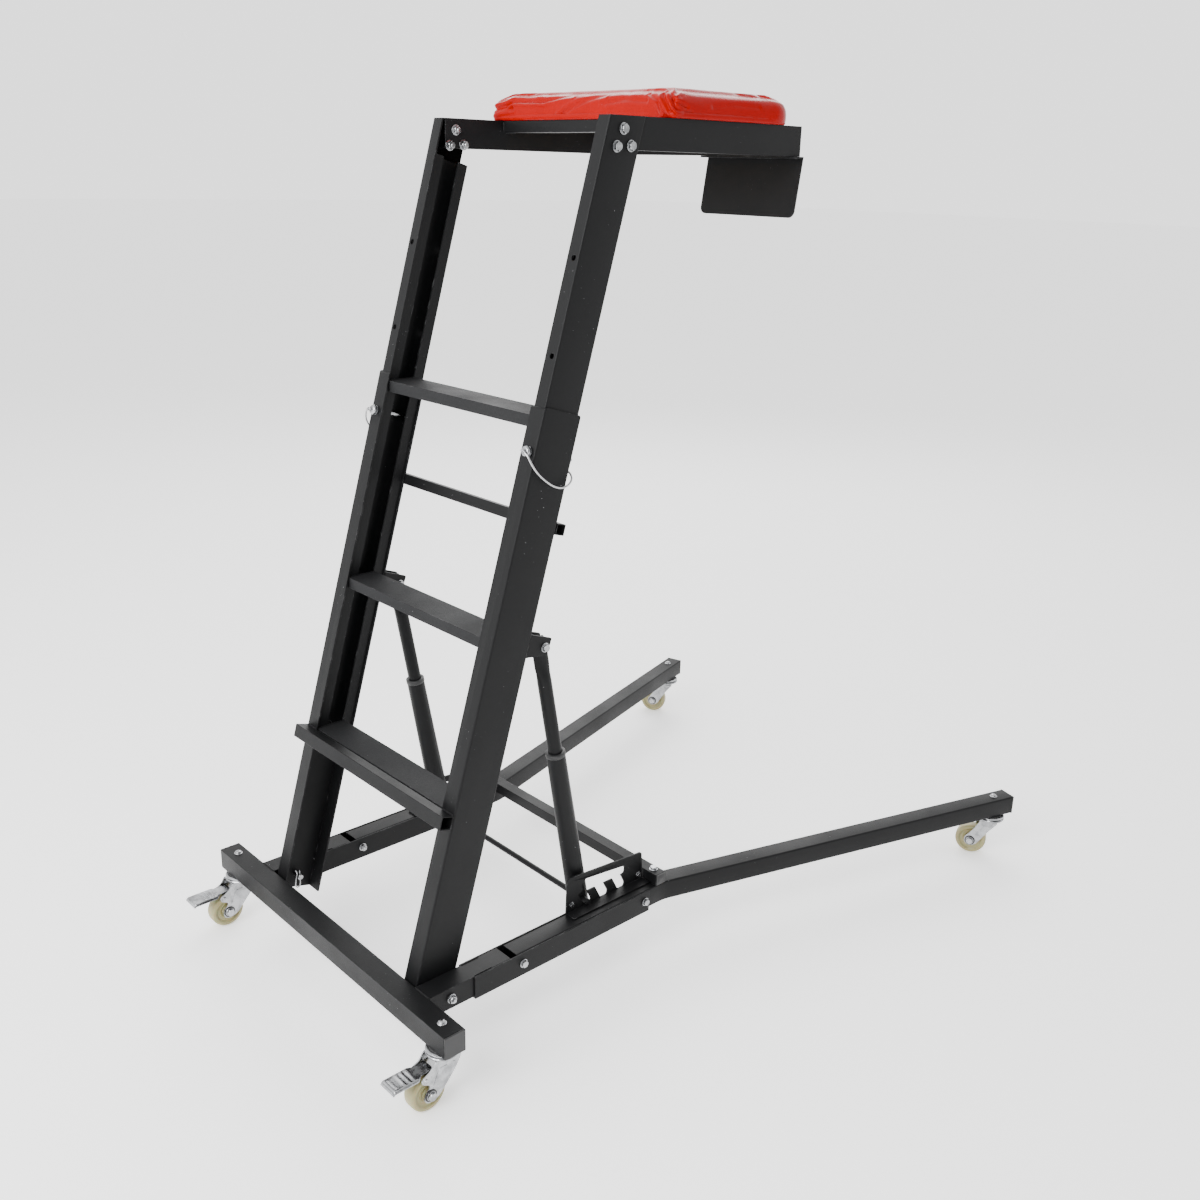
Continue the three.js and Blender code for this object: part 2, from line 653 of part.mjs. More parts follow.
function lockPins() {
  const head = RAIL_REAR - GAP;
  const tip = RAIL_FRONT + PIN_TIP;
  const profile = [
    [0, head - PIN_HEAD],
    [PIN_HEAD_RADIUS - 2, head - PIN_HEAD],
    [PIN_HEAD_RADIUS, head - PIN_HEAD + 2],
    [PIN_HEAD_RADIUS, head],
    [PIN_RADIUS, head],
    [PIN_RADIUS, tip - 3],
    [PIN_RADIUS - 2, tip],
    [0, tip],
  ].map(([x, y]) => new THREE.Vector2(x, y));
  const pin = new THREE.LatheGeometry(profile, 16).rotateZ(-Math.PI / 2);
  // from a ring on the pin's head, round the outside of the rail, to the rail's front flange
  const cable = wire(new THREE.CatmullRomCurve3([
    [head - PIN_HEAD - 2.2, PIN_Y, 3],
    [head - PIN_HEAD - 3.5, PIN_Y + 5, -1],
    [head - PIN_HEAD - 1, PIN_Y + 13, -7],
    [-46, PIN_Y + 20, -19],
    [-34, PIN_Y + 23.5, -30],
    [-16, PIN_Y + 24.5, -39],
    [4, PIN_Y + 24.5, -45],
    [22, PIN_Y + 24, -45],
    [36, PIN_Y + 22.5, -38],
    [44, PIN_Y + 18, -29],
    [46, PIN_Y + 11, -22],
    [43.5, PIN_Y + 4.5, -18],
    [RAIL_FRONT + CABLE_RADIUS + GAP, PIN_Y, -17],
  ].map(([x, y, z]) => new THREE.Vector3(x, y, z))), CABLE_RADIUS, 26);
  for (const [side, sign] of SIDES) {
    const place = new THREE.Group();
    place.position.set(0, 0, PIN_AT);
    ladder.add(place);
    add(`lock_pin_${side}`, pin.clone().translate(0, sign * PIN_Y, 0), zinc, place);
    add(`pin_lanyard_${side}`, mirrored(cable, sign), zinc, place);
  }
}

// rungs and the bottom step, level treads between the upper rails
function rungs() {
  const names = ['upper_rung', 'middle_rung', 'bottom_step'];
  const half = LIP_PLANE - GAP;
  RUNG_TOPS.forEach((above, i) => {
    const rear = PIVOT_X + (above + PIVOT_DROP) * Math.tan(lean) + RAIL_REAR / Math.cos(lean);
    const x = rear + RUNG_SETBACK + RUNG_DEPTH / 2;
    const z = BASE_TOP + above - RUNG_HEIGHT / 2;
    add(names[i], squareTube('y', -half, half, [x, z], RUNG_DEPTH, RUNG_HEIGHT, WALL), stepPaint);
  });
}

// ---------------------------------------------------------------- struts

function struts() {
  const group = new THREE.Group();
  group.position.set(strutTop.x, 0, strutTop.y);
  group.rotation.y = strutLean;
  model.add(group);

  const rodHalf = PLATE_IN + PLATE_SHEET + ROD_OVERHANG;
  add('strut_rod', bar('y', ROD_RADIUS, -rodHalf, rodHalf, [0, -STRUT_LENGTH]), blackCoat, group);

  const bottom = -STRUT_LENGTH - SLEEVE_FOOT;
  const mouth = -STRUT_LENGTH + SLEEVE_LENGTH;
  const bore = SLEEVE_RADIUS - SLEEVE_WALL;
  const sleeve = cut(
    loft([
      [bottom, SLEEVE_FOOT_HALF, SLEEVE_RADIUS - 1],
      [mouth, SLEEVE_RADIUS, SLEEVE_RADIUS],
    ]),
    loft([
      [bottom - 1, SLEEVE_FOOT_HALF - SLEEVE_WALL, bore - 1],
      [mouth + 1, bore, bore],
    ]),
    bar('y', ROD_RADIUS + GAP, -2 * SLEEVE_RADIUS, 2 * SLEEVE_RADIUS, [0, -STRUT_LENGTH]),
  ).translate(0, STRUT_Y, 0);
  const end = -STRUT_LENGTH + STRUT_SHORTENING + INNER_END_CLEAR;
  // its top is pressed flat, with a rounded end at the bolt
  const inner = cut(
    loft([
      [end, INNER_RADIUS, INNER_RADIUS],
      [-72, INNER_RADIUS, INNER_RADIUS],
      [-56, 13.5, 9],
      [-40, 16, TONGUE / 2],
      [6, 16, TONGUE / 2],
      [14, 11, TONGUE / 2],
    ]),
    bar('z', INNER_RADIUS - INNER_WALL, end - 1, -80, [0, 0], 20),
    bar('y', STRUT_PIN_RADIUS + GAP, -TONGUE, TONGUE, [0, 0]),
  ).translate(0, STRUT_Y, 0);
  for (const [side, sign] of SIDES) {
    add(`strut_sleeve_${side}`, mirrored(sleeve, sign), blackCoat, group);
    add(`strut_inner_${side}`, mirrored(inner, sign), blackCoat, group);
  }
}

// a solid through oval sections, each given as its height and half its width in X and in Y
function loft(rings) {
  const sides = 20;
  const positions = [];
  const index = [];
  for (const [z, halfX, halfY] of rings) {
    for (let i = 0; i < sides; i += 1) {
      const angle = 2 * Math.PI * i / sides;
      positions.push(halfX * Math.cos(angle), halfY * Math.sin(angle), z);
    }
  }
  for (let ring = 0; ring + 1 < rings.length; ring += 1) {
    for (let i = 0; i < sides; i += 1) {
      const a = ring * sides + i;
      const b = ring * sides + (i + 1) % sides;
      index.push(a, b, b + sides, a, b + sides, a + sides);
    }
  }
  const top = (rings.length - 1) * sides;
  for (let i = 1; i + 1 < sides; i += 1) {
    index.push(0, i + 1, i);
    index.push(top, top + i, top + i + 1);
  }
  const geometry = new THREE.BufferGeometry();
  geometry.setAttribute('position', new THREE.Float32BufferAttribute(positions, 3));
  geometry.setIndex(index);
  return geometry;
}

// ---------------------------------------------------------------- deck

function deck() {
  const beamStart = PIVOT_X + (DECK_TOP + PIVOT_DROP) * Math.tan(lean)
    + (UPPER_REAR + RAIL_SHEET) / Math.cos(lean) + 2;
  const beamZ = DECK_Z - BEAM_HEIGHT / 2;
  for (const [side, sign] of SIDES) {
    const y = sign * (BEAM_OUT - BEAM_WIDTH / 2);
    add(`deck_beam_${side}`,
      squareTube('x', beamStart, BEAM_END, [y, beamZ], BEAM_WIDTH, BEAM_HEIGHT, WALL), blackCoat);
  }
  const between = BEAM_IN - GAP;
  add('deck_front_rail', squareTube('y', -between, between,
    [BEAM_END - BEAM_WIDTH / 2, beamZ], BEAM_WIDTH, BEAM_HEIGHT, WALL), blackCoat);
  add('deck_rear_strip', squareTube('y', -between, between,
    [STRIP_X, DECK_Z - STRIP_HEIGHT / 2], STRIP_DEPTH, STRIP_HEIGHT, WALL), blackCoat);
  deckFlap();
  chestPad();
}

// a plate that hangs from the near half of the deck's front rail
function deckFlap() {
  const top = DECK_Z - BEAM_HEIGHT - GAP;
  const slant = Math.atan2(FLAP_BACK, FLAP_DROP);
  const length = Math.hypot(FLAP_BACK, FLAP_DROP);
  const face = extrude(outline([
    [FLAP_FROM, 0],
    [FLAP_FROM, -length, FLAP_ROUND],
    [FLAP_TO, -length, FLAP_ROUND],
    [FLAP_TO, 0],
  ]), FLAP_SHEET);
  face.rotateX(Math.PI / 2);
  face.rotateZ(Math.PI / 2);
  face.rotateY(slant);
  face.translate(BEAM_END - FLAP_SHEET, 0, top - FLAP_SHEET / 2);
  const lip = block(BEAM_END - BEAM_WIDTH, BEAM_END, FLAP_FROM, FLAP_TO, top - FLAP_SHEET, top);
  add('deck_flap', join(face, lip), blackCoat);
}

function padPlan(inset) {
  const rear = PAD_REAR_ROUND - inset;
  const front = PAD_FRONT_ROUND - inset;
  return outline([
    [PAD_REAR + inset, -PAD_HALF + inset, rear],
    [PAD_FRONT - inset, -PAD_HALF + inset, front],
    [PAD_FRONT - inset, PAD_HALF - inset, front],
    [PAD_REAR + inset, PAD_HALF - inset, rear],
  ]);
}

function chestPad() {
  const foot = DECK_Z + GAP;
  const board = extrude(padPlan(PAD_COVER), BOARD).translate(0, 0, foot);
  add('pad_board', board, plywood);
  const pocket = extrude(padPlan(PAD_COVER - GAP), BOARD + GAP + 1).translate(0, 0, foot - 1);
  const pad = cut(extrude(padPlan(0), PAD_HEIGHT).translate(0, 0, foot), pocket);
  add('chest_pad', pad, redVinyl);
}

// ---------------------------------------------------------------- casters

// A caster stands with its swivel axis on the group's origin, its wheel trailing to -X.
function caster(name, x, y, turn, braked) {
  const group = new THREE.Group();
  group.position.set(x, y, 0);
  group.rotation.z = THREE.MathUtils.degToRad(turn);
  model.add(group);
  add(`${name}_fork`, casterFork(), zinc, group);
  add(`${name}_wheel`, casterWheel(), nylon, group);
  add(`${name}_axle`, casterAxle(), zinc, group);
  if (braked) {
    add(`${name}_brake_pedal`, brakePedal(), zinc, group);
  }
}

const FORK_IN = WHEEL_WIDTH / 2 + 2.5;

function casterFork() {
  const top = CASTER_HEIGHT - GAP;
  const headFoot = top - 13;
  const outside = FORK_IN + FORK_SHEET;
  const cheek = sidePlate([
    [22, headFoot + 2],
    [22, headFoot - 12, 8],
    [-TRAIL + 13, WHEEL_RADIUS - 12, 12],
    [-TRAIL - 13, WHEEL_RADIUS - 12, 12],
    [-TRAIL - 12, WHEEL_RADIUS + 14, 8],
    [-20, headFoot + 2],
  ], -outside, outside);
  const head = new THREE.LatheGeometry([
    [0, headFoot],
    [FORK_HEAD_RADIUS - 1, headFoot],
    [FORK_HEAD_RADIUS, headFoot + 4],
    [FORK_HEAD_RADIUS - 2, headFoot + 6],
    [FORK_HEAD_RADIUS - 3, top - 3],
    [FORK_HEAD_RADIUS - 6, top],
    [0, top],
  ].map(([r, z]) => new THREE.Vector2(r, z)), 20).rotateX(Math.PI / 2);
  return join(
    cut(
      cheek,
      block(-TRAIL - 40, 40, -FORK_IN, FORK_IN, -1, headFoot),
      bar('y', AXLE_RADIUS + GAP, -outside - 1, outside + 1, [-TRAIL, WHEEL_RADIUS]),
    ),
    head,
  );
}

function casterWheel() {
  const half = WHEEL_WIDTH / 2;
  const bore = AXLE_RADIUS + GAP;
  const profile = [
    [bore, -half - 1],
    [bore + 6, -half - 1],
    [bore + 7, -half + 3],
    [WHEEL_RADIUS - 8, -half + 3],
    [WHEEL_RADIUS - 5, -half],
    [WHEEL_RADIUS - 1.5, -half + 1.5],
    [WHEEL_RADIUS, -half + 5],
    [WHEEL_RADIUS, half - 5],
    [WHEEL_RADIUS - 1.5, half - 1.5],
    [WHEEL_RADIUS - 5, half],
    [WHEEL_RADIUS - 8, half - 3],
    [bore + 7, half - 3],
    [bore + 6, half + 1],
    [bore, half + 1],
    [bore, -half - 1],
  ].map(([r, z]) => new THREE.Vector2(r, z));
  return new THREE.LatheGeometry(profile, 24).translate(-TRAIL, 0, WHEEL_RADIUS);
}

function casterAxle() {
  const outside = FORK_IN + FORK_SHEET + GAP;
  const centre = [-TRAIL, WHEEL_RADIUS];
  return join(
    bar('y', AXLE_RADIUS, -outside - 1, outside + 1, centre),
    bar('y', AXLE_RADIUS + 3.5, -outside - 5, -outside, centre, 6),
    bar('y', AXLE_RADIUS + 3, outside, outside + 5, centre, 6),
  );
}

// a ribbed foot lever that stands behind the fork, its neck between the fork's cheeks
function brakePedal() {
  const z = 2 * WHEEL_RADIUS + 9;
  const start = -26;
  const neck = FORK_IN - 1.5;
  const wide = PEDAL_WIDTH / 2;
  const end = start - PEDAL_LENGTH;
  const sheet = 2.5;
  const plate = join(
    block(start - 26, start, -neck, neck, z, z + sheet),
    block(end, start - 24, -wide, wide, z, z + sheet),
    block(end, end + sheet, -wide, wide, z - 7, z + 1),
  );
  const ribs = [0, 1, 2].map((i) => bar('y', 2.2, -wide + 2, wide - 2,
    [start - 36 - 9 * i, z + sheet - 0.6], 10));
  return join(plate, ...ribs);
}

function casters() {
  for (const [side, sign] of SIDES) {
    caster(`rear_caster_${side}`, 0, sign * REAR_CASTER_Y, 0, true);
    const x = legEnd.x - FRONT_CASTER_INSET * Math.cos(splay);
    const y = legEnd.y - FRONT_CASTER_INSET * Math.sin(splay);
    const turn = sign < 0 ? NEAR_CASTER_TURN : FAR_CASTER_TURN;
    caster(`front_caster_${side}`, x, sign * y, turn, false);
  }
}

// ---------------------------------------------------------------- assembly

crossbar();
stubs();
channels();
legs();
frontCrossTube();
notchPlates();
pivotPins();
lowerRails();
crossBars();
strutBrackets();
upperRails();
lockPins();
rungs();
struts();
deck();
casters();

// the origin is on the floor, under the middle of the object
model.updateMatrixWorld(true);
const extent = new THREE.Box3().setFromObject(model, true);
model.position.x = -(extent.min.x + extent.max.x) / 2;
model.position.y = -(extent.min.y + extent.max.y) / 2;

export default model;
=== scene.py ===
"""Looks for a folding topside creeper: its coats, fasteners, welds, pad, lanyards and casters.

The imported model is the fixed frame. Everything here is placed from its nodes and joints, in metres.
"""

import json
import math
import random

import bmesh
import bpy
from mathutils import Matrix, Vector, noise


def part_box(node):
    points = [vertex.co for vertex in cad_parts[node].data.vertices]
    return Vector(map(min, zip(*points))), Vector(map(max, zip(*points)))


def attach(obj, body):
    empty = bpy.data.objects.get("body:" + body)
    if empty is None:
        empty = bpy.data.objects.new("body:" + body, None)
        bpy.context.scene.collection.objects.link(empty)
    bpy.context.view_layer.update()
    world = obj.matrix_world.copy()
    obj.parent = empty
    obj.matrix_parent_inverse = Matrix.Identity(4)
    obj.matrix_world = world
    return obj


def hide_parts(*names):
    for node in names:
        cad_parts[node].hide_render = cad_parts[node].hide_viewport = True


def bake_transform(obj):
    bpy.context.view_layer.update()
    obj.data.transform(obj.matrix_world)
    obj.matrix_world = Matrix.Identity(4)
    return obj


bl_info = {
    "name": "Topside Creeper",
    "version": (1, 0, 0),
    "blender": (4, 5, 0),
    "location": "View3D > Sidebar > Creeper",
    "description": "Builds the finished look of a folding topside creeper around its packed frame",
    "category": "Add Mesh",
}

MM = 0.001
SIDES = (("near", -1), ("far", 1))

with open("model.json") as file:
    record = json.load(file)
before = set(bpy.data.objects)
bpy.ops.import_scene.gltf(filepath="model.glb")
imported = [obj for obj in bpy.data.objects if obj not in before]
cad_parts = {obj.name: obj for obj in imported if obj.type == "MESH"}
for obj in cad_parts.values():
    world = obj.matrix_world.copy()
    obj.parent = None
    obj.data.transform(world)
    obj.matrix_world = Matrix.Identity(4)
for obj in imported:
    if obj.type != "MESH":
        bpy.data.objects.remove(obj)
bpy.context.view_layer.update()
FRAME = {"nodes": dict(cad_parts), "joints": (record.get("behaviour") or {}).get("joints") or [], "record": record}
NODES = FRAME["nodes"]
JOINTS = {joint["name"]: joint for joint in FRAME["joints"]}

PIVOT = Vector(JOINTS["ladder_tilt"]["pos_m"])
RAIL_UP = Vector(JOINTS["height_slide"]["axis"]).normalized()
RAIL_OUT = Vector((RAIL_UP.z, 0, -RAIL_UP.x))
STRUT_BOLT = Vector(JOINTS["strut_swing"]["pos_m"])
STRUT_DOWN = Vector(JOINTS["strut_slide"]["axis"]).normalized()
UP = Vector((0, 0, 1))


# ---------------------------------------------------------------- properties


class CreeperFinish(bpy.types.PropertyGroup):
    """Colours and surface sizes that a user would change."""

    coat: bpy.props.FloatVectorProperty(
        name="Powder coat", description="Colour of the coated steel",
        subtype="COLOR", size=3, min=0, max=1, default=(0.0042, 0.0043, 0.0046))
    tread: bpy.props.FloatVectorProperty(
        name="Tread coat", description="Colour of the grainy coat on the treads",
        subtype="COLOR", size=3, min=0, max=1, default=(0.009, 0.0092, 0.0098))
    zinc: bpy.props.FloatVectorProperty(
        name="Zinc", description="Colour of the plated fasteners and forks",
        subtype="COLOR", size=3, min=0, max=1, default=(0.36, 0.365, 0.375))
    vinyl: bpy.props.FloatVectorProperty(
        name="Vinyl", description="Colour of the pad's cover",
        subtype="COLOR", size=3, min=0, max=1, default=(0.3, 0.0008, 0.0002))
    nylon: bpy.props.FloatVectorProperty(
        name="Nylon", description="Colour of the caster wheels",
        subtype="COLOR", size=3, min=0, max=1, default=(0.30, 0.27, 0.125))
    plastic: bpy.props.FloatVectorProperty(
        name="Plastic", description="Colour of the end caps",
        subtype="COLOR", size=3, min=0, max=1, default=(0.008, 0.008, 0.0085))
    edge: bpy.props.FloatProperty(
        name="Edge radius", description="Rounding of the steel's edges",
        subtype="DISTANCE", unit="LENGTH", default=0.9 * MM, min=0, max=3 * MM)


class CreeperPad(bpy.types.PropertyGroup):
    """Sizes of the stuffed pad."""

    crown: bpy.props.FloatProperty(
        name="Crown", description="How far the top swells above its edges",
        subtype="DISTANCE", unit="LENGTH", default=9 * MM, min=0, max=20 * MM)
    voxel: bpy.props.FloatProperty(
        name="Cloth grid", description="Spacing of the simulated cover's points",
        subtype="DISTANCE", unit="LENGTH", default=4 * MM, min=3 * MM, max=12 * MM)
    travel: bpy.props.FloatProperty(
        name="Cloth travel", description="How far the simulation may move a point",
        subtype="DISTANCE", unit="LENGTH", default=6 * MM, min=0, max=30 * MM)


class CreeperStage(bpy.types.PropertyGroup):
    """Camera and studio."""

    azimuth: bpy.props.FloatProperty(
        name="Azimuth", description="Direction the camera looks in, from +Y towards -X",
        subtype="ANGLE", unit="ROTATION", default=math.radians(-42.99))
    pitch: bpy.props.FloatProperty(
        name="Pitch", description="How far the camera looks down",
        subtype="ANGLE", unit="ROTATION", default=math.radians(19.09))
    roll: bpy.props.FloatProperty(
        name="Roll", description="Turn of the camera about its view",
        subtype="ANGLE", unit="ROTATION", default=math.radians(1.42))
    lens: bpy.props.FloatProperty(
        name="Focal length", description="For a 36 mm wide sensor", default=37.3, min=10, max=200)
    place: bpy.props.FloatVectorProperty(
        name="Camera place", description="From the pivot of the ladder",
        subtype="TRANSLATION", unit="LENGTH", size=3, default=(-1.0129, -1.7016, 1.3055))


# ---------------------------------------------------------------- shader groups


def new_group(name, inputs, outputs):
    """An empty shader group with named sockets, each given as (name, type, default)."""
    group = bpy.data.node_groups.new(name, "ShaderNodeTree")
    for label, kind, default in inputs:
        socket = group.interface.new_socket(label, in_out="INPUT", socket_type=kind)
        socket.default_value = default
    for label, kind in outputs:
        group.interface.new_socket(label, in_out="OUTPUT", socket_type=kind)
    return group, group.nodes.new("NodeGroupInput"), group.nodes.new("NodeGroupOutput")


def math_node(tree, operation, a, b):
    """The sum, difference or product of two values, each a number or an output."""
    node = tree.nodes.new("ShaderNodeMath")
    node.operation = operation
    for socket, value in zip(node.inputs, (a, b)):
        if isinstance(value, (int, float)):
            socket.default_value = value
        else:
            tree.links.new(value, socket)
    return node.outputs[0]


def noise_node(tree, vector, scale, detail=3.0, roughness=0.55):
    """Noise over a place, between 0 and 1 and mostly near 0.5."""
    node = tree.nodes.new("ShaderNodeTexNoise")
    tree.links.new(vector, node.inputs["Vector"])
    if isinstance(scale, (int, float)):
        node.inputs["Scale"].default_value = scale
    else:
        tree.links.new(scale, node.inputs["Scale"])
    node.inputs["Detail"].default_value = detail
    node.inputs["Roughness"].default_value = roughness
    return node.outputs["Fac"]


def smooth_step(tree, value, low, high):
    """0 below the low value and 1 above the high one, with a soft change between them."""
    node = tree.nodes.new("ShaderNodeMapRange")
    node.interpolation_type = "SMOOTHSTEP"
    tree.links.new(value, node.inputs["Value"])
    node.inputs["From Min"].default_value = low
    node.inputs["From Max"].default_value = high
    return node.outputs["Result"]


def wear_group():
    """Mask of rubbed edges and stray nicks."""
    group, _, out = new_group(
        "Rubbed edges", [], [("Edge", "NodeSocketFloat"), ("Nicks", "NodeSocketFloat")])
    place = group.nodes.new("ShaderNodeTexCoord").outputs["Object"]
    bevel = group.nodes.new("ShaderNodeBevel")
    bevel.samples = 4
    bevel.inputs["Radius"].default_value = 1.6 * MM
    surface = group.nodes.new("ShaderNodeNewGeometry").outputs["Normal"]
    dot = group.nodes.new("ShaderNodeVectorMath")
    dot.operation = "DOT_PRODUCT"
    group.links.new(bevel.outputs["Normal"], dot.inputs[0])
    group.links.new(surface, dot.inputs[1])
    edge = smooth_step(group, math_node(group, "SUBTRACT", 1.0, dot.outputs["Value"]), 0.008, 0.12)
    broken = smooth_step(group, noise_node(group, place, 60, 5, 0.6), 0.5, 0.68)
    group.links.new(math_node(group, "MULTIPLY", edge, broken), out.inputs["Edge"])
    specks = smooth_step(group, noise_node(group, place, 330, 2, 0.5), 0.73, 0.78)
    patch = smooth_step(group, noise_node(group, place, 14, 3, 0.5), 0.52, 0.66)
    group.links.new(math_node(group, "MULTIPLY", specks, patch), out.inputs["Nicks"])
    return group


def grain_group():
    """Pebble height of a sprayed or moulded surface, and a slow drift over it."""
    group, given, out = new_group(
        "Pebble grain",
        [("Size", "NodeSocketFloat", 900.0), ("Drift Size", "NodeSocketFloat", 9.0)],
        [("Height", "NodeSocketFloat"), ("Drift", "NodeSocketFloat")])
    place = group.nodes.new("ShaderNodeTexCoord").outputs["Object"]
    fine = noise_node(group, place, given.outputs["Size"], 2, 0.6)
    coarse = noise_node(group, place, math_node(group, "MULTIPLY", given.outputs["Size"], 0.33), 2)
    blended = math_node(group, "ADD", math_node(group, "MULTIPLY", fine, 0.6),
                        math_node(group, "MULTIPLY", coarse, 0.4))
    group.links.new(blended, out.inputs["Height"])
    group.links.new(noise_node(group, place, given.outputs["Drift Size"], 4, 0.6),
                    out.inputs["Drift"])
    return group


def start_material(name, roughness, metallic=0.0, **fixed):
    """A material with its Principled shader, whose constant sockets are set by name."""
    material = bpy.data.materials.new(name)
    material.use_nodes = True
    tree = material.node_tree
    shader = tree.nodes["Principled BSDF"]
    shader.inputs["Roughness"].default_value = roughness
    shader.inputs["Metallic"].default_value = metallic
    for label, value in fixed.items():
        shader.inputs[label.replace("_", " ")].default_value = value
    return material, tree, shader


def use_group(tree, group, **values):
    """A shared shader group placed in a material, its inputs set by name."""
    node = tree.nodes.new("ShaderNodeGroup")
    node.node_tree = group
    for label, value in values.items():
        node.inputs[label.replace("_", " ")].default_value = value
    return node


def mix_colours(tree, factor, a, b):
    """The first colour where the factor is 0, the second where it is 1."""
    node = tree.nodes.new("ShaderNodeMix")
    node.data_type = "RGBA"
    tree.links.new(factor, node.inputs["Factor"])
    for socket, value in ((node.inputs[6], a), (node.inputs[7], b)):
        if isinstance(value, tuple):
            socket.default_value = value
        else:
            tree.links.new(value, socket)
    return node.outputs[2]


def bump(tree, height, distance, strength=1.0, normal=None):
    """A normal tilted by a height map, over another normal if one is given."""
    node = tree.nodes.new("ShaderNodeBump")
    node.inputs["Strength"].default_value = strength
    node.inputs["Distance"].default_value = distance
    tree.links.new(height, node.inputs["Height"])
    if normal is not None:
        tree.links.new(normal, node.inputs["Normal"])
    return node.outputs["Normal"]


def shade(colour, factor):
    """A colour made lighter or darker, with full alpha."""
    return tuple(min(1.0, part * factor) for part in colour) + (1.0,)


def drift_range(tree, value, low, high):
    """A slow drift spread between two values, for a roughness."""
    node = tree.nodes.new("ShaderNodeMapRange")
    tree.links.new(value, node.inputs["Value"])
    node.inputs["From Min"].default_value = 0.3
    node.inputs["From Max"].default_value = 0.7
    node.inputs["To Min"].default_value = low
    node.inputs["To Max"].default_value = high
    return node.outputs["Result"]


# ---------------------------------------------------------------- materials


def coated_steel(name, colour, wear, grain, grain_size, depth, rough):
    """Powder-coated steel: pebble grain, rubbed edges and a few nicks to the primer."""
    material, tree, shader = start_material(name, rough, 0.0, IOR=1.3,
                                            Specular_IOR_Level=0.32)
    pebbles = use_group(tree, grain, Size=grain_size, Drift_Size=7.0)
    rubbed = use_group(tree, wear)
    base = mix_colours(tree, pebbles.outputs["Drift"], shade(colour, 0.72), shade(colour, 1.3))
    base = mix_colours(tree, pebbles.outputs["Height"], base, shade(colour, 1.6))
    base = mix_colours(tree, math_node(tree, "MULTIPLY", rubbed.outputs["Edge"], 0.5), base,
                       (0.16, 0.16, 0.165, 1.0))
    base = mix_colours(tree, rubbed.outputs["Nicks"], base, (0.3, 0.3, 0.31, 1.0))
    tree.links.new(base, shader.inputs["Base Color"])
    tree.links.new(drift_range(tree, pebbles.outputs["Drift"], rough - 0.06, rough + 0.1),
                   shader.inputs["Roughness"])
    tree.links.new(bump(tree, pebbles.outputs["Height"], depth), shader.inputs["Normal"])
    return material


def zinc_plate(colour, grain):
    """Bright plate with a faint cloudy drift and fine handling scratches."""
    material, tree, shader = start_material("zinc_plate", 0.26, 1.0)
    clouds = use_group(tree, grain, Size=420.0, Drift_Size=55.0)
    patches = smooth_step(tree, clouds.outputs["Drift"], 0.34, 0.62)
    base = mix_colours(tree, patches, shade(colour, 0.7), shade(colour, 1.15))
    tree.links.new(base, shader.inputs["Base Color"])
    tree.links.new(drift_range(tree, clouds.outputs["Drift"], 0.14, 0.36),
                   shader.inputs["Roughness"])
    tree.links.new(bump(tree, clouds.outputs["Height"], 0.02 * MM, 0.5), shader.inputs["Normal"])
    return material


def steel_cable(grain):
    """Bare wire, dull in its hollows."""
    material, tree, shader = start_material("steel_cable", 0.34, 1.0)
    clouds = use_group(tree, grain, Size=1600.0, Drift_Size=120.0)
    base = mix_colours(tree, clouds.outputs["Drift"], (0.3, 0.3, 0.31, 1), (0.66, 0.66, 0.67, 1))
    tree.links.new(base, shader.inputs["Base Color"])
    tree.links.new(bump(tree, clouds.outputs["Height"], 0.03 * MM), shader.inputs["Normal"])
    return material


def red_vinyl(colour, grain):
    """Glossy upholstery vinyl: fine pressed grain and soft creases under a clear top."""
    material, tree, shader = start_material(
        "red_vinyl", 0.26, 0.0, IOR=1.25, Specular_IOR_Level=0.22)
    skin = use_group(tree, grain, Size=520.0, Drift_Size=11.0)
    base = mix_colours(tree, skin.outputs["Drift"], shade(colour, 0.8), shade(colour, 1.06))
    tree.links.new(base, shader.inputs["Base Color"])
    tree.links.new(drift_range(tree, skin.outputs["Drift"], 0.18, 0.36), shader.inputs["Roughness"])
    place = tree.nodes.new("ShaderNodeTexCoord").outputs["Object"]
    creases = bump(tree, noise_node(tree, place, 38, 3, 0.5), 1.2 * MM, 0.35)
    tree.links.new(bump(tree, skin.outputs["Height"], 0.05 * MM, 0.8, creases),
                   shader.inputs["Normal"])
    return material


def cream_nylon(colour, grain):
    """Cast nylon that lets a little light through."""
    material, tree, shader = start_material(
        "cream_nylon", 0.34, 0.0, Subsurface_Weight=0.25, Subsurface_Scale=0.006)
    clouds = use_group(tree, grain, Size=300.0, Drift_Size=40.0)
    base = mix_colours(tree, clouds.outputs["Drift"], shade(colour, 0.82), shade(colour, 1.12))
    tree.links.new(base, shader.inputs["Base Color"])
    tree.links.new(drift_range(tree, clouds.outputs["Drift"], 0.26, 0.48),
                   shader.inputs["Roughness"])
    tree.links.new(bump(tree, clouds.outputs["Height"], 0.04 * MM), shader.inputs["Normal"])
    return material


def moulded_plastic(colour, grain):
    """Black plastic with a fine moulded grain."""
    material, tree, shader = start_material("moulded_plastic", 0.5)
    skin = use_group(tree, grain, Size=1500.0, Drift_Size=20.0)
    base = mix_colours(tree, skin.outputs["Drift"], shade(colour, 0.8), shade(colour, 1.7))
    tree.links.new(base, shader.inputs["Base Color"])
    tree.links.new(bump(tree, skin.outputs["Height"], 0.05 * MM), shader.inputs["Normal"])
    return material


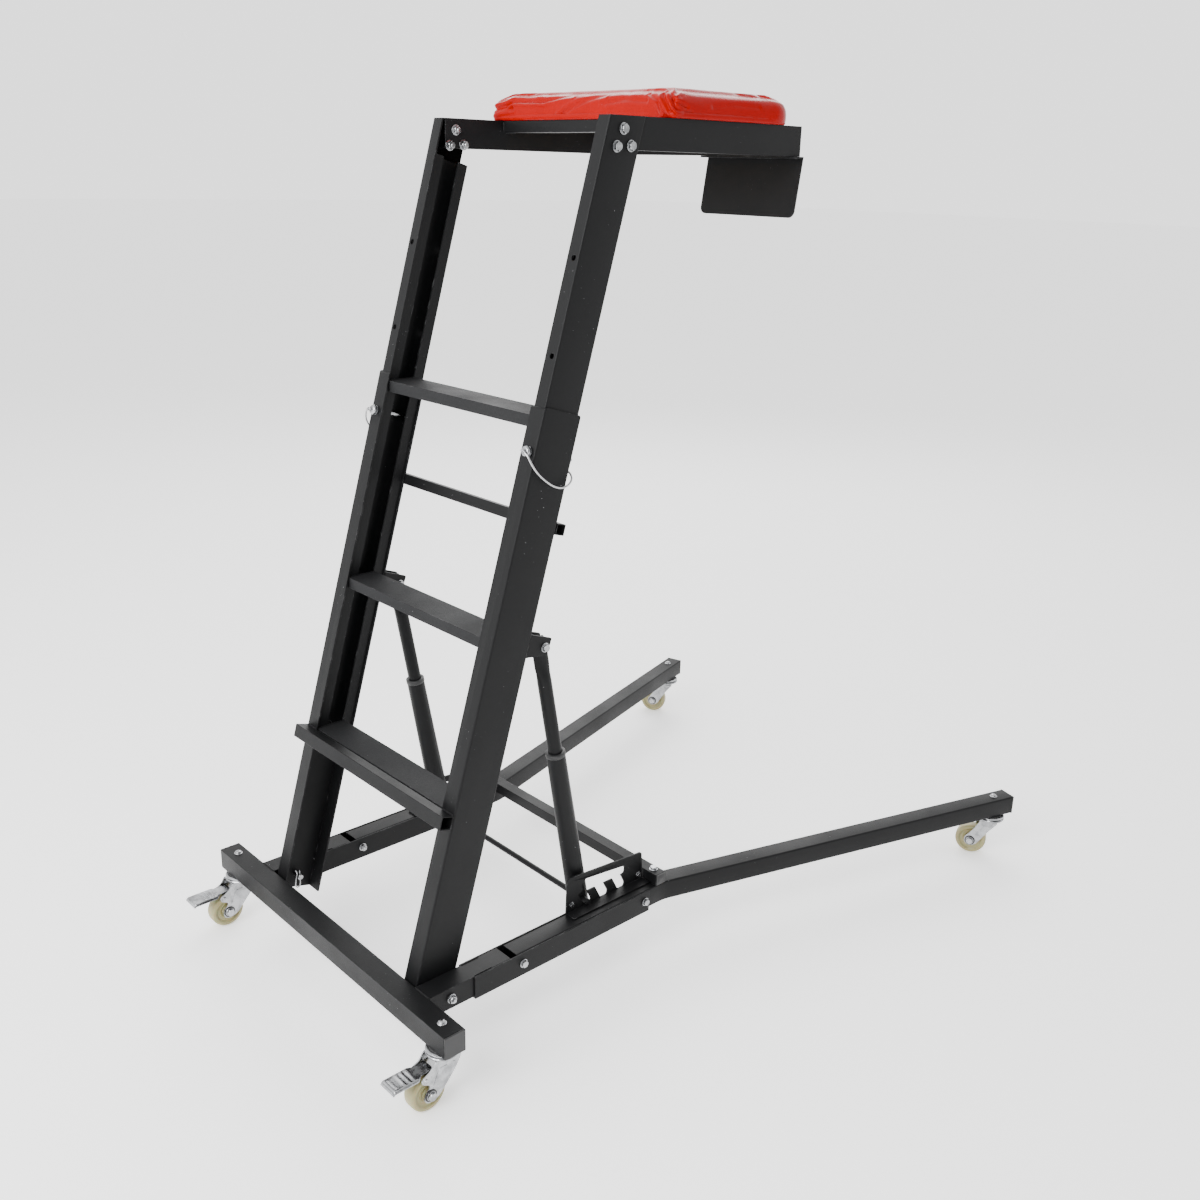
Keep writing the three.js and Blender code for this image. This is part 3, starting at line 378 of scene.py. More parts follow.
def raw_plywood(grain):
    """Veneer with long streaks."""
    material, tree, shader = start_material("raw_plywood", 0.75)
    place = tree.nodes.new("ShaderNodeTexCoord").outputs["Object"]
    stretch = tree.nodes.new("ShaderNodeMapping")
    stretch.inputs["Scale"].default_value = (60, 4, 60)
    tree.links.new(place, stretch.inputs["Vector"])
    streaks = noise_node(tree, stretch.outputs["Vector"], 3.0, 5, 0.6)
    base = mix_colours(tree, streaks, (0.2, 0.11, 0.05, 1), (0.5, 0.33, 0.17, 1))
    tree.links.new(base, shader.inputs["Base Color"])
    fibres = use_group(tree, grain, Size=700.0, Drift_Size=30.0)
    tree.links.new(bump(tree, fibres.outputs["Height"], 0.1 * MM), shader.inputs["Normal"])
    return material


def floor_paint():
    """Pale paper that glows a little, so that the floor meets the backdrop without a line."""
    material, _, shader = start_material("studio_floor", 0.6)
    shader.inputs["Emission Color"].default_value = (1, 1, 1, 1)
    shader.inputs["Emission Strength"].default_value = 0.55
    shader.inputs["Base Color"].default_value = (0.93, 0.93, 0.93, 1)
    return material


MATERIALS = {}
FINISH_OF_SLOT = {
    "black_coat": "coat", "step_paint": "tread", "zinc": "zinc", "cable": "cable",
    "wheel_nylon": "nylon", "black_plastic": "plastic", "red_vinyl": "vinyl",
    "plywood": "plywood",
}


def set_finish(mesh, slot):
    """Puts the slot's finish on a mesh, in place of any other."""
    mesh.materials.clear()
    mesh.materials.append(MATERIALS[FINISH_OF_SLOT[slot]])


class CREEPER_OT_materials(bpy.types.Operator):
    """Make the finishes, with the shader groups that they share"""

    bl_idname = "creeper.materials"
    bl_label = "Finishes"

    def execute(self, context):
        look = context.scene.creeper_finish
        wear, grain = wear_group(), grain_group()
        MATERIALS.update(
            coat=coated_steel("powder_coat", look.coat, wear, grain, 950.0, 0.22 * MM, 0.42),
            tread=coated_steel("tread_coat", look.tread, wear, grain, 620.0, 0.5 * MM, 0.62),
            zinc=zinc_plate(look.zinc, grain),
            cable=steel_cable(grain),
            vinyl=red_vinyl(look.vinyl, grain),
            nylon=cream_nylon(look.nylon, grain),
            plastic=moulded_plastic(look.plastic, grain),
            plywood=raw_plywood(grain),
            floor=floor_paint(),
        )
        return {"FINISHED"}


# ---------------------------------------------------------------- mesh making


def new_object(name, mesh, slot):
    """An object of the model, with its finish."""
    mesh.name = name
    piece = bpy.data.objects.new(name, mesh)
    bpy.context.scene.collection.objects.link(piece)
    set_finish(mesh, slot)
    return piece


def new_piece(name, mesh, body, slot):
    """An object of the model, with its finish, riding on its body."""
    piece = new_object(name, mesh, slot)
    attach(piece, body)
    return piece


def mesh_from(bm, sharp_angle=40):
    """Turns a bmesh into a mesh that is smooth but for its sharp edges."""
    bmesh.ops.remove_doubles(bm, verts=bm.verts, dist=0.004 * MM)
    bmesh.ops.recalc_face_normals(bm, faces=bm.faces)
    limit = math.radians(sharp_angle)
    for face in bm.faces:
        face.smooth = True
    for edge in bm.edges:
        edge.smooth = len(edge.link_faces) != 2 or edge.calc_face_angle(0) < limit
    mesh = bpy.data.meshes.new("unnamed")
    bm.to_mesh(mesh)
    bm.free()
    return mesh


def in_mm(points):
    """Points given in millimetres, in metres."""
    return [tuple(value * MM for value in point) for point in points]


def bridge(bm, a, b):
    """Faces between two rings of as many points."""
    for i in range(len(a)):
        j = (i + 1) % len(a)
        bm.faces.new((a[i], a[j], b[j], b[i]))


def closed_skin(bm, rings):
    """Faces from each ring to the next, with the first and last rings capped."""
    for a, b in zip(rings, rings[1:]):
        bridge(bm, a, b)
    bm.faces.new(list(reversed(rings[0])))
    bm.faces.new(rings[-1])


def turn(bm, profile, steps, matrix):
    """Adds a solid of revolution about Z. The profile holds (radius, height) points; ends that
    lie off the axis are closed to each other."""
    rings = []
    for radius, height in profile:
        if radius < 1e-7:
            rings.append([bm.verts.new(matrix @ Vector((0, 0, height)))])
            continue
        rings.append([
            bm.verts.new(matrix @ Vector((radius * math.cos(a), radius * math.sin(a), height)))
            for a in (2 * math.pi * i / steps for i in range(steps))
        ])
    pairs = list(zip(rings, rings[1:]))
    if len(rings[0]) > 1 and len(rings[-1]) > 1:
        pairs.append((rings[-1], rings[0]))
    for low, high in pairs:
        for i in range(steps):
            j = (i + 1) % steps
            corners = [low[i % len(low)], low[j % len(low)], high[j % len(high)],
                       high[i % len(high)]]
            unique = list(dict.fromkeys(corners))
            if len(unique) > 2:
                bm.faces.new(unique)


def rounded_corner(before, here, after, radius, steps):
    """Points round a corner, within the nearer half of each side that meets there."""
    a, b, c = Vector(before), Vector(here), Vector(after)
    r = min(radius, (a - b).length * 0.49, (c - b).length * 0.49)
    start, end = b + (a - b).normalized() * r, b + (c - b).normalized() * r
    return [start * (1 - t) ** 2 + b * 2 * t * (1 - t) + end * t * t
            for t in (i / steps for i in range(steps + 1))]


def rounded(points, radius):
    """A profile whose inner points are rounded."""
    result = [points[0]]
    for corner in zip(points, points[1:], points[2:]):
        result.extend(tuple(point) for point in rounded_corner(*corner, radius, 3))
    result.append(points[-1])
    return result


def facing(direction, place, turn_by=0.0):
    """A matrix whose Z runs along the direction, at the place."""
    spin = Matrix.Rotation(turn_by, 4, "Z")
    return Matrix.Translation(place) @ direction.to_track_quat("Z", "X").to_matrix().to_4x4() @ spin


def hexagon(bm, matrix, across_flats, height, low=0.0, chamfer=0.16):
    """A hexagonal prism whose upper corners are turned off, as on a bolt head or a nut."""
    steps = 36
    sixth = math.pi / 3
    flat = across_flats / 2
    levels = [(low, None), (low + height * (1 - chamfer), None), (low + height, flat * 0.95)]
    rings = []
    for z, cap in levels:
        ring = []
        for i in range(steps):
            a = 2 * math.pi * i / steps
            radius = cap or flat / math.cos((a + sixth / 2) % sixth - sixth / 2)
            ring.append(bm.verts.new(matrix @ Vector((radius * math.cos(a),
                                                      radius * math.sin(a), z))))
        rings.append(ring)
    closed_skin(bm, rings)


def add_bolt(bm, place, direction, size, washer=True, nut=False):
    """A hexagon head or a nut with its thread end, on a washer, standing on a surface."""
    spin = random.uniform(0, math.pi / 3)
    matrix = facing(direction, place, spin)
    base = 0.0
    if washer:
        thick = size * 0.2
        turn(bm, [(0, 0), *rounded([(size * 1.1, 0), (size * 1.1, thick), (size * 0.4, thick)],
                                   size * 0.05)[1:-1], (0, thick)], 36, matrix)
        base = thick
    height = size * (0.8 if nut else 0.64)
    hexagon(bm, matrix, size * 1.6, height, base)
    if nut:
        end = base + height
        turn(bm, [(0, end - size * 0.1), (size * 0.5, end - size * 0.1),
                  (size * 0.5, end + size * 0.3), (size * 0.4, end + size * 0.42),
                  (0, end + size * 0.42)], 24, matrix)


def dome_nut(bm, place, direction, radius):
    """A low domed nut on a flange."""
    matrix = facing(direction, place)
    turn(bm, rounded([(0, 0), (radius * 1.25, 0), (radius * 1.25, radius * 0.22),
                      (radius, radius * 0.26), (radius * 0.92, radius * 0.62),
                      (radius * 0.5, radius * 0.85), (0, radius * 0.9)], radius * 0.16), 40, matrix)


def sweep(bm, path, section):
    """Runs a section along a path and caps its ends. section(i) gives the offsets of the
    outline's points at the path's point i, in a frame that moves along the path."""
    normal = None
    rings = []
    for i, point in enumerate(path):
        ahead = path[min(i + 1, len(path) - 1)] - path[max(i - 1, 0)]
        tangent = ahead.normalized()
        if normal is None:
            normal = tangent.orthogonal().normalized()
        normal = (normal - tangent * normal.dot(tangent)).normalized()
        side = tangent.cross(normal)
        rings.append([bm.verts.new(point + normal * u + side * v) for u, v in section(i)])
    closed_skin(bm, rings)


def smooth_path(points, steps):
    """Points on a Catmull-Rom curve through the given ones."""
    ends = [points[0] * 2 - points[1], *points, points[-1] * 2 - points[-2]]
    path = []
    for p0, p1, p2, p3 in zip(ends, ends[1:], ends[2:], ends[3:]):
        for i in range(steps):
            t = i / steps
            path.append(0.5 * (2 * p1 + (p2 - p0) * t + (2 * p0 - 5 * p1 + 4 * p2 - p3) * t * t
                               + (3 * p1 - p0 - 3 * p2 + p3) * t ** 3))
    path.append(points[-1])
    return path


def circle(radius, sides):
    """Points round a circle."""
    return [(radius * math.cos(2 * math.pi * k / sides), radius * math.sin(2 * math.pi * k / sides))
            for k in range(sides)]


def weld(bm, start, end, radius):
    """A rippled weld bead between two points, half sunk in the corner it fills."""
    length = (end - start).length
    count = max(6, int(length / (radius * 0.55)))
    phase = random.uniform(0, 6)

    def section(i):
        ripple = 1 + 0.16 * math.sin(i * 2.2 + phase) + 0.1 * math.sin(i * 0.61 + phase)
        taper = min(1.0, (i + 1) / 3, (count - i + 1) / 3)
        return circle(radius * ripple * taper, 8)

    sweep(bm, [start.lerp(end, i / count) for i in range(count + 1)], section)


# ---------------------------------------------------------------- carried-over frame parts


class CREEPER_OT_frame(bpy.types.Operator):
    """Give every frame part its finish and rounded edges"""

    bl_idname = "creeper.frame"
    bl_label = "Frame parts"

    def execute(self, context):
        edge = context.scene.creeper_finish.edge
        slots = {row["node"]: row["material_slot"] for row in FRAME["record"]["subparts"]}
        for name, node in NODES.items():
            mesh = node.data
            set_finish(mesh, slots[name])
            if mesh.has_custom_normals:
                mesh.attributes.remove(mesh.attributes["custom_normal"])
            for polygon in mesh.polygons:
                polygon.use_smooth = True
            weld_points = node.modifiers.new("Join", "WELD")
            weld_points.merge_threshold = 0.01 * MM
            bevel = node.modifiers.new("Edges", "BEVEL")
            bevel.width = edge
            bevel.segments = 2
            bevel.limit_method = "ANGLE"
            bevel.angle_limit = math.radians(40)
            bevel.harden_normals = True
        return {"FINISHED"}


# ---------------------------------------------------------------- casters


def caster_frame(name):
    """A matrix from a caster's own frame to the row frame: Z on the swivel axis from the floor,
    the wheel trailing to -X."""
    swivel = Vector(JOINTS[name + "_turn"]["pos_m"])
    roll = Vector(JOINTS[name + "_roll"]["pos_m"])
    ahead = Vector((swivel.x - roll.x, swivel.y - roll.y, 0)).normalized()
    across = Vector((0, 0, 1)).cross(ahead)
    basis = Matrix((ahead, across, Vector((0, 0, 1)))).transposed().to_4x4()
    return Matrix.Translation((swivel.x, swivel.y, 0)) @ basis


def upright(matrix, y, sign=1):
    """A frame whose XY plane stands upright at a place beside the wheel, facing outward."""
    turned = Matrix(((1, 0, 0, 0), (0, 0, sign, y), (0, 1, 0, 0), (0, 0, 0, 1)))
    return matrix @ turned


# A caster's own measures, in millimetres in the frame of caster_frame. Cheeks are outlines of
# (ahead, up, corner radius).
WHEEL_AXLE = (-36.0, 33.0)
CHEEK_SIDE = 16.75
REAR_CHEEK = [
    (23, 91, 3), (24, 80, 8), (12, 60, 16), (-19, 25, 9), (-31, 20, 9), (-43, 20.5, 10),
    (-49, 28, 9), (-47, 40, 10), (-35, 52, 12), (-44, 57, 6), (-53, 61, 6), (-51, 71, 6),
    (-34, 77, 10), (-26, 91, 3),
]
FRONT_CHEEK = [
    (17, 91, 3), (17, 84, 6), (1, 64, 14), (-22, 27, 8), (-31, 21, 7), (-42, 21, 8),
    (-49, 29, 7), (-48, 40, 8), (-31, 62, 14), (-20, 82, 8), (-20, 91, 3),
]


def rectangle(back, front, half, corner):
    """An outline for add_plate."""
    return [(front, -half, corner), (front, half, corner), (back, half, corner),
            (back, -half, corner)]


def add_plate(bm, points, thickness, matrix, edge=0.5 * MM):
    """A sheet with a rounded outline, centred on the matrix's XY plane. Points are
    (x, y, corner radius) in millimetres."""
    corners = in_mm(points)
    loop = []
    for before, here, after in zip(corners[-1:] + corners[:-1], corners, corners[1:] + corners[:1]):
        loop.extend(rounded_corner(before[:2], here[:2], after[:2], here[2], 5))
    levels = [[bm.verts.new(matrix @ Vector((p.x, p.y, z))) for p in loop]
              for z in (-thickness / 2, thickness / 2)]
    faces = [bm.faces.new(list(reversed(levels[0]))), bm.faces.new(levels[1])]
    bridge(bm, *levels)
    rims = [rim for face in faces for rim in face.edges]
    bmesh.ops.bevel(bm, geom=rims, offset=edge, segments=2, affect="EDGES", profile=0.5)


def add_rivet(bm, matrix, x, y, radius, height):
    """A low domed rivet head on the matrix's XY plane."""
    place = matrix @ Matrix.Translation((x * MM, y * MM, 0))
    turn(bm, [(radius, -0.2 * MM), (radius, height * 0.25), (radius * 0.86, height * 0.7),
              (radius * 0.5, height * 0.94), (0, height)], 28, place)


def fork_mesh(frame, braked):
    """Stamped fork: two cheeks, a bridge and the ball race with its two rolled rings."""
    bm = bmesh.new()
    cheek = REAR_CHEEK if braked else FRONT_CHEEK
    sheet = 2.4 * MM
    for sign in (-1, 1):
        side = upright(frame, sign * CHEEK_SIDE * MM, sign)
        add_plate(bm, cheek, sheet, side)
        face = side @ Matrix.Translation((0, 0, 1.1 * MM))
        if braked:
            add_rivet(bm, face, 1, 78, 6.5 * MM, 1.6 * MM)
            add_rivet(bm, face, -45, 65, 4.2 * MM, 2.4 * MM)
            add_plate(bm, [(14, 76, 5), (5, 60, 8), (-22, 34, 6), (-33, 44, 6), (-27, 58, 8),
                           (-20, 76, 5)], 1.2 * MM, face, 0.55 * MM)
        else:
            add_plate(bm, [(13, 85, 2), (3, 72, 3), (-16, 74, 3), (-16, 86, 2)], 1.0 * MM,
                      face, 0.4 * MM)
    seat = frame @ Matrix.Translation((0, 0, 89.9 * MM))
    width = 23 if braked else 19
    add_plate(bm, rectangle(-width, width - 1, 18, 5), sheet, seat, 0.6 * MM)
    race = [(0, 88.9), (25.2, 88.9), (27.4, 89.7), (28.3, 91.2), (28.3, 92.6), (27.2, 94.1),
            (25.2, 94.7), (24.9, 95.3), (26.6, 95.8), (27.7, 97), (27.5, 98.4), (26, 99.6),
            (23, 100.1), (0, 100.1)]
    turn(bm, in_mm(race), 64, frame)
    return mesh_from(bm, 34)


def hub_frame(frame):
    """A matrix whose Z runs along a wheel's axle, from the wheel's middle."""
    return (frame @ Matrix.Translation((WHEEL_AXLE[0] * MM, 0, WHEEL_AXLE[1] * MM))
            @ Matrix.Rotation(-math.pi / 2, 4, "X"))


def wheel_mesh(frame):
    """Cast wheel: crowned tread, a groove inside each rim, a raised hub ring."""
    bm = bmesh.new()
    half = [(5.2, 13.9), (8.8, 13.9), (9.9, 13.2), (10.2, 10.9), (10.9, 10.1), (13.2, 9.9),
            (14.6, 10.9), (16.4, 11.0), (17.2, 9.8), (21.5, 9.6), (23.3, 10.4), (24.6, 12.4),
            (26.2, 13.0), (28.6, 13.0), (30.6, 12.3), (31.9, 10.7), (32.7, 8.2), (33.0, 4.5)]
    profile = half + [(r, -y) for r, y in reversed(half)]
    turn(bm, in_mm(profile), 72, hub_frame(frame))
    return mesh_from(bm, 50)


def axle_mesh(frame):
    """Hub bolt, with its head on one cheek and its nut on the other."""
    bm = bmesh.new()
    reach = 18
    turn(bm, in_mm(((0, -reach), (4, -reach), (4, reach), (0, reach))), 20, hub_frame(frame))
    for sign in (-1, 1):
        direction = (frame.to_3x3() @ Vector((0, sign, 0))).normalized()
        middle = frame @ Vector((WHEEL_AXLE[0] * MM, sign * reach * MM, WHEEL_AXLE[1] * MM))
        middle += direction * 1.1 * MM
        matrix = facing(direction, middle, 0.4 if sign > 0 else 0.9)
        turn(bm, in_mm(((0, 0), (8.6, 0), (8.8, 0.6), (8.4, 1.2), (0, 1.3))), 32, matrix)
        hexagon(bm, matrix, 14 * MM, 4.6 * MM, 1.2 * MM, 0.3)
        if sign > 0:
            turn(bm, in_mm(((0, 4), (4.9, 4), (4.9, 6.2), (4, 7), (0, 7))), 24, matrix)
    return mesh_from(bm)


PEDAL_START = -27.0
PEDAL_END = -106.0
PEDAL_RIBS = (-64, -73, -82)
PEDAL_HOLLOW = -94
NECK_HALF = 13.2
PLATE_HALF = 19.2
SIDE_FOLD = 0.84
QUARTER_TURN = 1.57


def bell(value, width):
    """1 at zero, falling away on both sides."""
    return math.exp(-(value / width) ** 2)


def pedal_mesh(frame):
    """Pressed foot lever: a neck, three cross ribs, turned-down sides and a lip at its end."""
    bm = bmesh.new()
    along, across = 80, 25
    grid = []
    for i in range(along):
        x = PEDAL_START + (PEDAL_END - PEDAL_START) * i / (along - 1)
        widen = min(1.0, max(0.0, (-49 - x) / 10))
        half = NECK_HALF + (PLATE_HALF - NECK_HALF) * widen * widen * (3 - 2 * widen)
        row = []
        for j in range(across):
            v = 2 * j / (across - 1) - 1
            fold = max(0.0, (abs(v) - SIDE_FOLD) / (1 - SIDE_FOLD))
            bent = SIDE_FOLD + (1 - SIDE_FOLD) * math.sin(fold * QUARTER_TURN)
            y = half * (v if fold == 0 else math.copysign(bent, v))
            z = 76.6 - 5.2 * (1 - math.cos(fold * QUARTER_TURN)) * widen
            flat = max(0.0, 1 - (abs(v) / 0.78) ** 6)
            for rib in PEDAL_RIBS:
                z += 2.3 * flat * bell(x - rib, 2.3)
            z -= 0.6 * flat * bell(x - PEDAL_HOLLOW, 5)
            lip = max(0.0, (PEDAL_END + 5 - x) / 5)
            z -= 7.0 * (1 - math.cos(lip * QUARTER_TURN)) * (1 - fold * 0.6)
            row.append(bm.verts.new(frame @ Vector((x * MM, y * MM, z * MM))))
        grid.append(row)
    for a, b in zip(grid, grid[1:]):
        for j in range(across - 1):
            bm.faces.new((a[j], a[j + 1], b[j + 1], b[j]))
    bmesh.ops.recalc_face_normals(bm, faces=bm.faces)
    if sum(face.normal.z for face in bm.faces) < 0:
        bmesh.ops.reverse_faces(bm, faces=bm.faces)
    bmesh.ops.solidify(bm, geom=bm.faces[:], thickness=1.8 * MM)
    return mesh_from(bm, 50)


def ring_mesh(matrix, inner, outer, low, high, edge):
    """A ring with rounded edges, sizes in millimetres."""
    bm = bmesh.new()
    points = [(inner, low), (outer - edge, low), (outer, low + edge), (outer, high - edge),
              (outer - edge, high), (inner, high)]
    turn(bm, in_mm(points), 48, matrix)
    return mesh_from(bm, 60)


# wheel seals: name, where each starts and ends along the axle, and its radius
SEALS = (
    ("inner_left", -15.4, -14.0, 9.4), ("outer_left", -19.1, -17.9, 11),
    ("inner_right", 14.0, 15.4, 9.4), ("outer_right", 17.9, 19.1, 11),
)


class CREEPER_OT_casters(bpy.types.Operator):
    """Build the swivel casters: forks, wheels, hub bolts, seals, washers and brake pedals"""

    bl_idname = "creeper.casters"
    bl_label = "Casters"

    def execute(self, context):
        for end in ("rear", "front"):
            for side, _ in SIDES:
                self.caster(f"{end}_caster_{side}", end == "rear")
        return {"FINISHED"}

    def caster(self, name, braked):
        frame = caster_frame(name)
        swivel, wheel = name + "_swivel", name + "_wheel"
        fork = new_piece(name + "_stamped_fork", fork_mesh(frame, braked), swivel, "zinc")
        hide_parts(name + "_fork")
        tyre = new_piece(name + "_cast_wheel", wheel_mesh(frame), wheel, "wheel_nylon")
        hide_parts(name + "_wheel")
        bolt = new_piece(name + "_hub_bolt", axle_mesh(frame), swivel, "zinc")
        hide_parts(name + "_axle")
        new_piece(name + "_washer", ring_mesh(frame, 5, 22, 100.1, 101.7, 0.5), swivel,
                  "black_plastic")
        for label, low, high, radius in SEALS:
            seal = ring_mesh(hub_frame(frame), 4.2, radius, low, high, 0.4)
            new_piece(f"{name}_seal_{label}", seal, swivel, "black_plastic")
        if braked:
            pedal = new_piece(name + "_foot_lever", pedal_mesh(frame), name + "_pedal", "zinc")
            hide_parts(name + "_brake_pedal")
            bm = bmesh.new()
            place = frame @ Matrix.Translation((-34 * MM, 0, 72 * MM))
            add_plate(bm, rectangle(-9, 9, 9, 3), 5 * MM, place, 1.2 * MM)
            new_piece(name + "_brake_block", mesh_from(bm), name + "_pedal", "black_plastic")


# ---------------------------------------------------------------- chest pad


PAD_LOW, PAD_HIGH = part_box("chest_pad")
PAD_WIDE = (PAD_HIGH.y - PAD_LOW.y) / MM
FORM_TALL = 44.6
FORM_CROWN = 9.0
REAR_ROUND = 15 * MM
FRONT_ROUND = 60 * MM
CLOTH_FRAMES = 20


def pad_ring(inset, pull):
    """A closed outline of the pad, `inset` inside its box, its sides pulled in between corners."""
    steps, runs = 14, 22
    x0, x1 = PAD_LOW.x + inset, PAD_HIGH.x - inset
    y0, y1 = PAD_LOW.y + inset, PAD_HIGH.y - inset
    corners = [(x0, y0, REAR_ROUND, math.pi), (x1, y0, FRONT_ROUND, 1.5 * math.pi),
               (x1, y1, FRONT_ROUND, 0.0), (x0, y1, REAR_ROUND, 0.5 * math.pi)]
    middle = Vector(((x0 + x1) / 2, (y0 + y1) / 2))
    arcs = []
    for x, y, radius, start in corners:
        r = max(3 * MM, radius - inset)
        centre_x = x + math.copysign(r, middle.x - x)
        centre_y = y + math.copysign(r, middle.y - y)
        arcs.append([(centre_x + r * math.cos(start + 0.5 * math.pi * i / steps),
                      centre_y + r * math.sin(start + 0.5 * math.pi * i / steps))
                     for i in range(steps + 1)])
    ring = []
    for arc, following in zip(arcs, arcs[1:] + arcs[:1]):
        ring.extend(arc)
        a, b = Vector(arc[-1]), Vector(following[0])
        run, inward = b - a, middle - (a + b) / 2
        if abs(run.x) > abs(run.y):
            inward = Vector((0, math.copysign(1, inward.y)))
        else:
            inward = Vector((math.copysign(1, inward.x), 0))
        for i in range(1, runs):
            t = i / runs
            ring.append(tuple(a.lerp(b, t) + inward * pull * math.sin(math.pi * t) ** 0.8))
    return ring


def pad_form(crown):
    """The stuffed pad before it is inflated: flat foot, rounded sides and a crowned top. Each
    level has its inset and height in millimetres, and how much of the sides' pull it takes."""
    bm = bmesh.new()
    tall = PAD_HIGH.z - PAD_LOW.z
    levels = [
        (26, 0.2, 0.3), (7, 0.0, 0.6), (3.0, 1.5, 1), (1.6, 6, 1), (1.2, 14, 1), (1.8, 22, 1),
        (4, 29.5, 1), (8, 34.0, 1), (15, 37.2, 0.9), (28, 40.2, 0.7), (48, 42.4, 0.5),
        (74, 43.8, 0.3), (104, 44.6, 0.1),
    ]
    rings = []
    for inset, height, pull in levels:
        top = tall - FORM_TALL * MM if height > 22 else 0
        drop = crown - FORM_CROWN * MM if 20 < height < 40 else 0
        z = PAD_LOW.z + height * MM + top - drop * 0.5
        rings.append([bm.verts.new((x, y, z)) for x, y in pad_ring(inset * MM, 3.4 * MM * pull)])
    closed_skin(bm, rings)
    return mesh_from(bm, 180)


def settled(piece):
    """The piece's mesh with its modifiers applied, as a new mesh."""
    bpy.context.view_layer.update()
    graph = bpy.context.evaluated_depsgraph_get()
    return bpy.data.meshes.new_from_object(piece.evaluated_get(graph))


def with_modifier(mesh, kind, **settings):
    """The mesh after one modifier."""
    carrier = bpy.data.objects.new("carrier", mesh)
    bpy.context.scene.collection.objects.link(carrier)
    modifier = carrier.modifiers.new(kind, kind)
    for label, value in settings.items():
        setattr(modifier, label, value)
    result = settled(carrier)
    bpy.data.objects.remove(carrier)
    return result


def inflated(mesh, travel):
    """The cover blown up as cloth. No point moves further than `travel` or inwards, and the
    moves fade out towards the foot, which is held down."""
    foot = PAD_LOW.z
    scene = bpy.context.scene
    carrier = bpy.data.objects.new("cover", mesh)
    scene.collection.objects.link(carrier)
    held = carrier.vertex_groups.new(name="held")
    held.add([v.index for v in mesh.vertices if v.co.z < foot + 2 * MM], 1.0, "REPLACE")
    start = [(v.co.copy(), v.normal.copy()) for v in mesh.vertices]
    cloth = carrier.modifiers.new("Cloth", "CLOTH")
    cloth.settings.quality = 5
    cloth.settings.use_pressure = True
    cloth.settings.uniform_pressure_force = 4
    cloth.settings.effector_weights.gravity = 0
    cloth.settings.vertex_group_mass = "held"
    cloth.collision_settings.use_collision = False
    cloth.point_cache.frame_start = 1
    cloth.point_cache.frame_end = CLOTH_FRAMES
    for frame in range(1, CLOTH_FRAMES + 1):
        scene.frame_set(frame)
    blown = settled(carrier)
    bpy.data.objects.remove(carrier)
    scene.frame_set(1)
    for vertex, (before, outward) in zip(blown.vertices, start):
        move = vertex.co - before
        move -= outward * min(0.0, move.dot(outward) + 0.6 * MM)
        if move.length > travel:
            move = move.normalized() * travel
        if before.z < foot + 12 * MM:
            move.z = max(move.z, -0.5 * MM)
        vertex.co = before + move * min(1.0, max(0.0, (before.z - foot) / (9 * MM)))
    return blown


# folds over the rear face: depth, half width, and points as (from the far side, height)
REAR_FOLDS = (
    (6.0, 3.4, ((0, 19), (45, 25), (62, 33), (147, 32), (216, 41))),
    (3.0, 2.8, ((0, 12), (30, 17), (64, 20))),
    (2.8, 3.4, ((190, 6), (216, 18), (258, 31), (300, 37))),
    (2.4, 3.4, ((300, 24), (350, 30), (405, 26))),
    (5.0, 2.8, ((436, 38), (450, 22), (464, 4))),
    (4.4, 2.6, ((450, 42), (462, 30), (471, 12))),
    (3.4, 2.8, ((404, 38), (430, 27), (441, 8))),
)
# folds over the near side: the same, from the rear
SIDE_FOLDS = (
    (3.4, 2.6, ((2, 34), (12, 24), (34, 17))),
    (2.4, 2.8, ((2, 18), (16, 12), (44, 9))),
    (1.6, 3.4, ((96, 20), (150, 26), (210, 24))),
)
# pleats that fan out over each rear corner's top: angle from the rear edge, half width, depth
CORNER_PLEATS = ((0.30, 2.4, 3.2), (0.66, 2.6, 4.0), (1.02, 2.4, 3.2), (1.3, 2.6, 2.4))
PLEAT_HEIGHT = 38.0
PLEAT_REACH = 70
REAR_DEPTH = 26
SIDE_DEPTH = 24


def line_distance(point, line):
    """How far a point is from a line of straight runs."""
    best = 1e9
    for a, b in zip(line, line[1:]):
        run = (b[0] - a[0], b[1] - a[1])
        away = (point[0] - a[0], point[1] - a[1])
        t = (away[0] * run[0] + away[1] * run[1]) / (run[0] ** 2 + run[1] ** 2)
        t = min(1.0, max(0.0, t))
        best = min(best, math.hypot(away[0] - run[0] * t, away[1] - run[1] * t))
    return best


def fold_depth(x, y, z):
    """How far the cover is drawn in at a place, in millimetres from the pad's rear near foot
    corner: tucked folds over its rear face and near side, and slack on its top."""
    depth = 0.0
    far = PAD_WIDE - y
    if x < REAR_DEPTH:
        for deep, width, line in REAR_FOLDS:
            away = line_distance((far, z), line)
            if away < 4 * width:
                ridge = 0.4 * bell(away - 2 * width, width)
                depth += deep * (bell(away, width) - ridge) * bell(x, 15)
    if y < SIDE_DEPTH:
        for deep, width, line in SIDE_FOLDS:
            away = line_distance((x, z), line)
            if away < 4 * width:
                depth += deep * bell(away, width) * bell(y, 13)
    for side, strength in ((y, 1.0), (far, 0.8)):
        reach = math.hypot(x, side)
        if reach < PLEAT_REACH:
            bearing = math.atan2(max(side, 0.001), max(x, 0.001))
            for angle, width, deep in CORNER_PLEATS:
                off = (bearing - angle) * max(reach, 10)
                depth += strength * deep * bell(off, width + reach * 0.04) \
                    * bell(reach - 16, 20) * bell(z - PLEAT_HEIGHT, 12)
    wave = noise.noise(Vector((x * 0.013, y * 0.03, z * 0.05)))
    return depth + 1.8 * wave * bell(z - 34, 12)


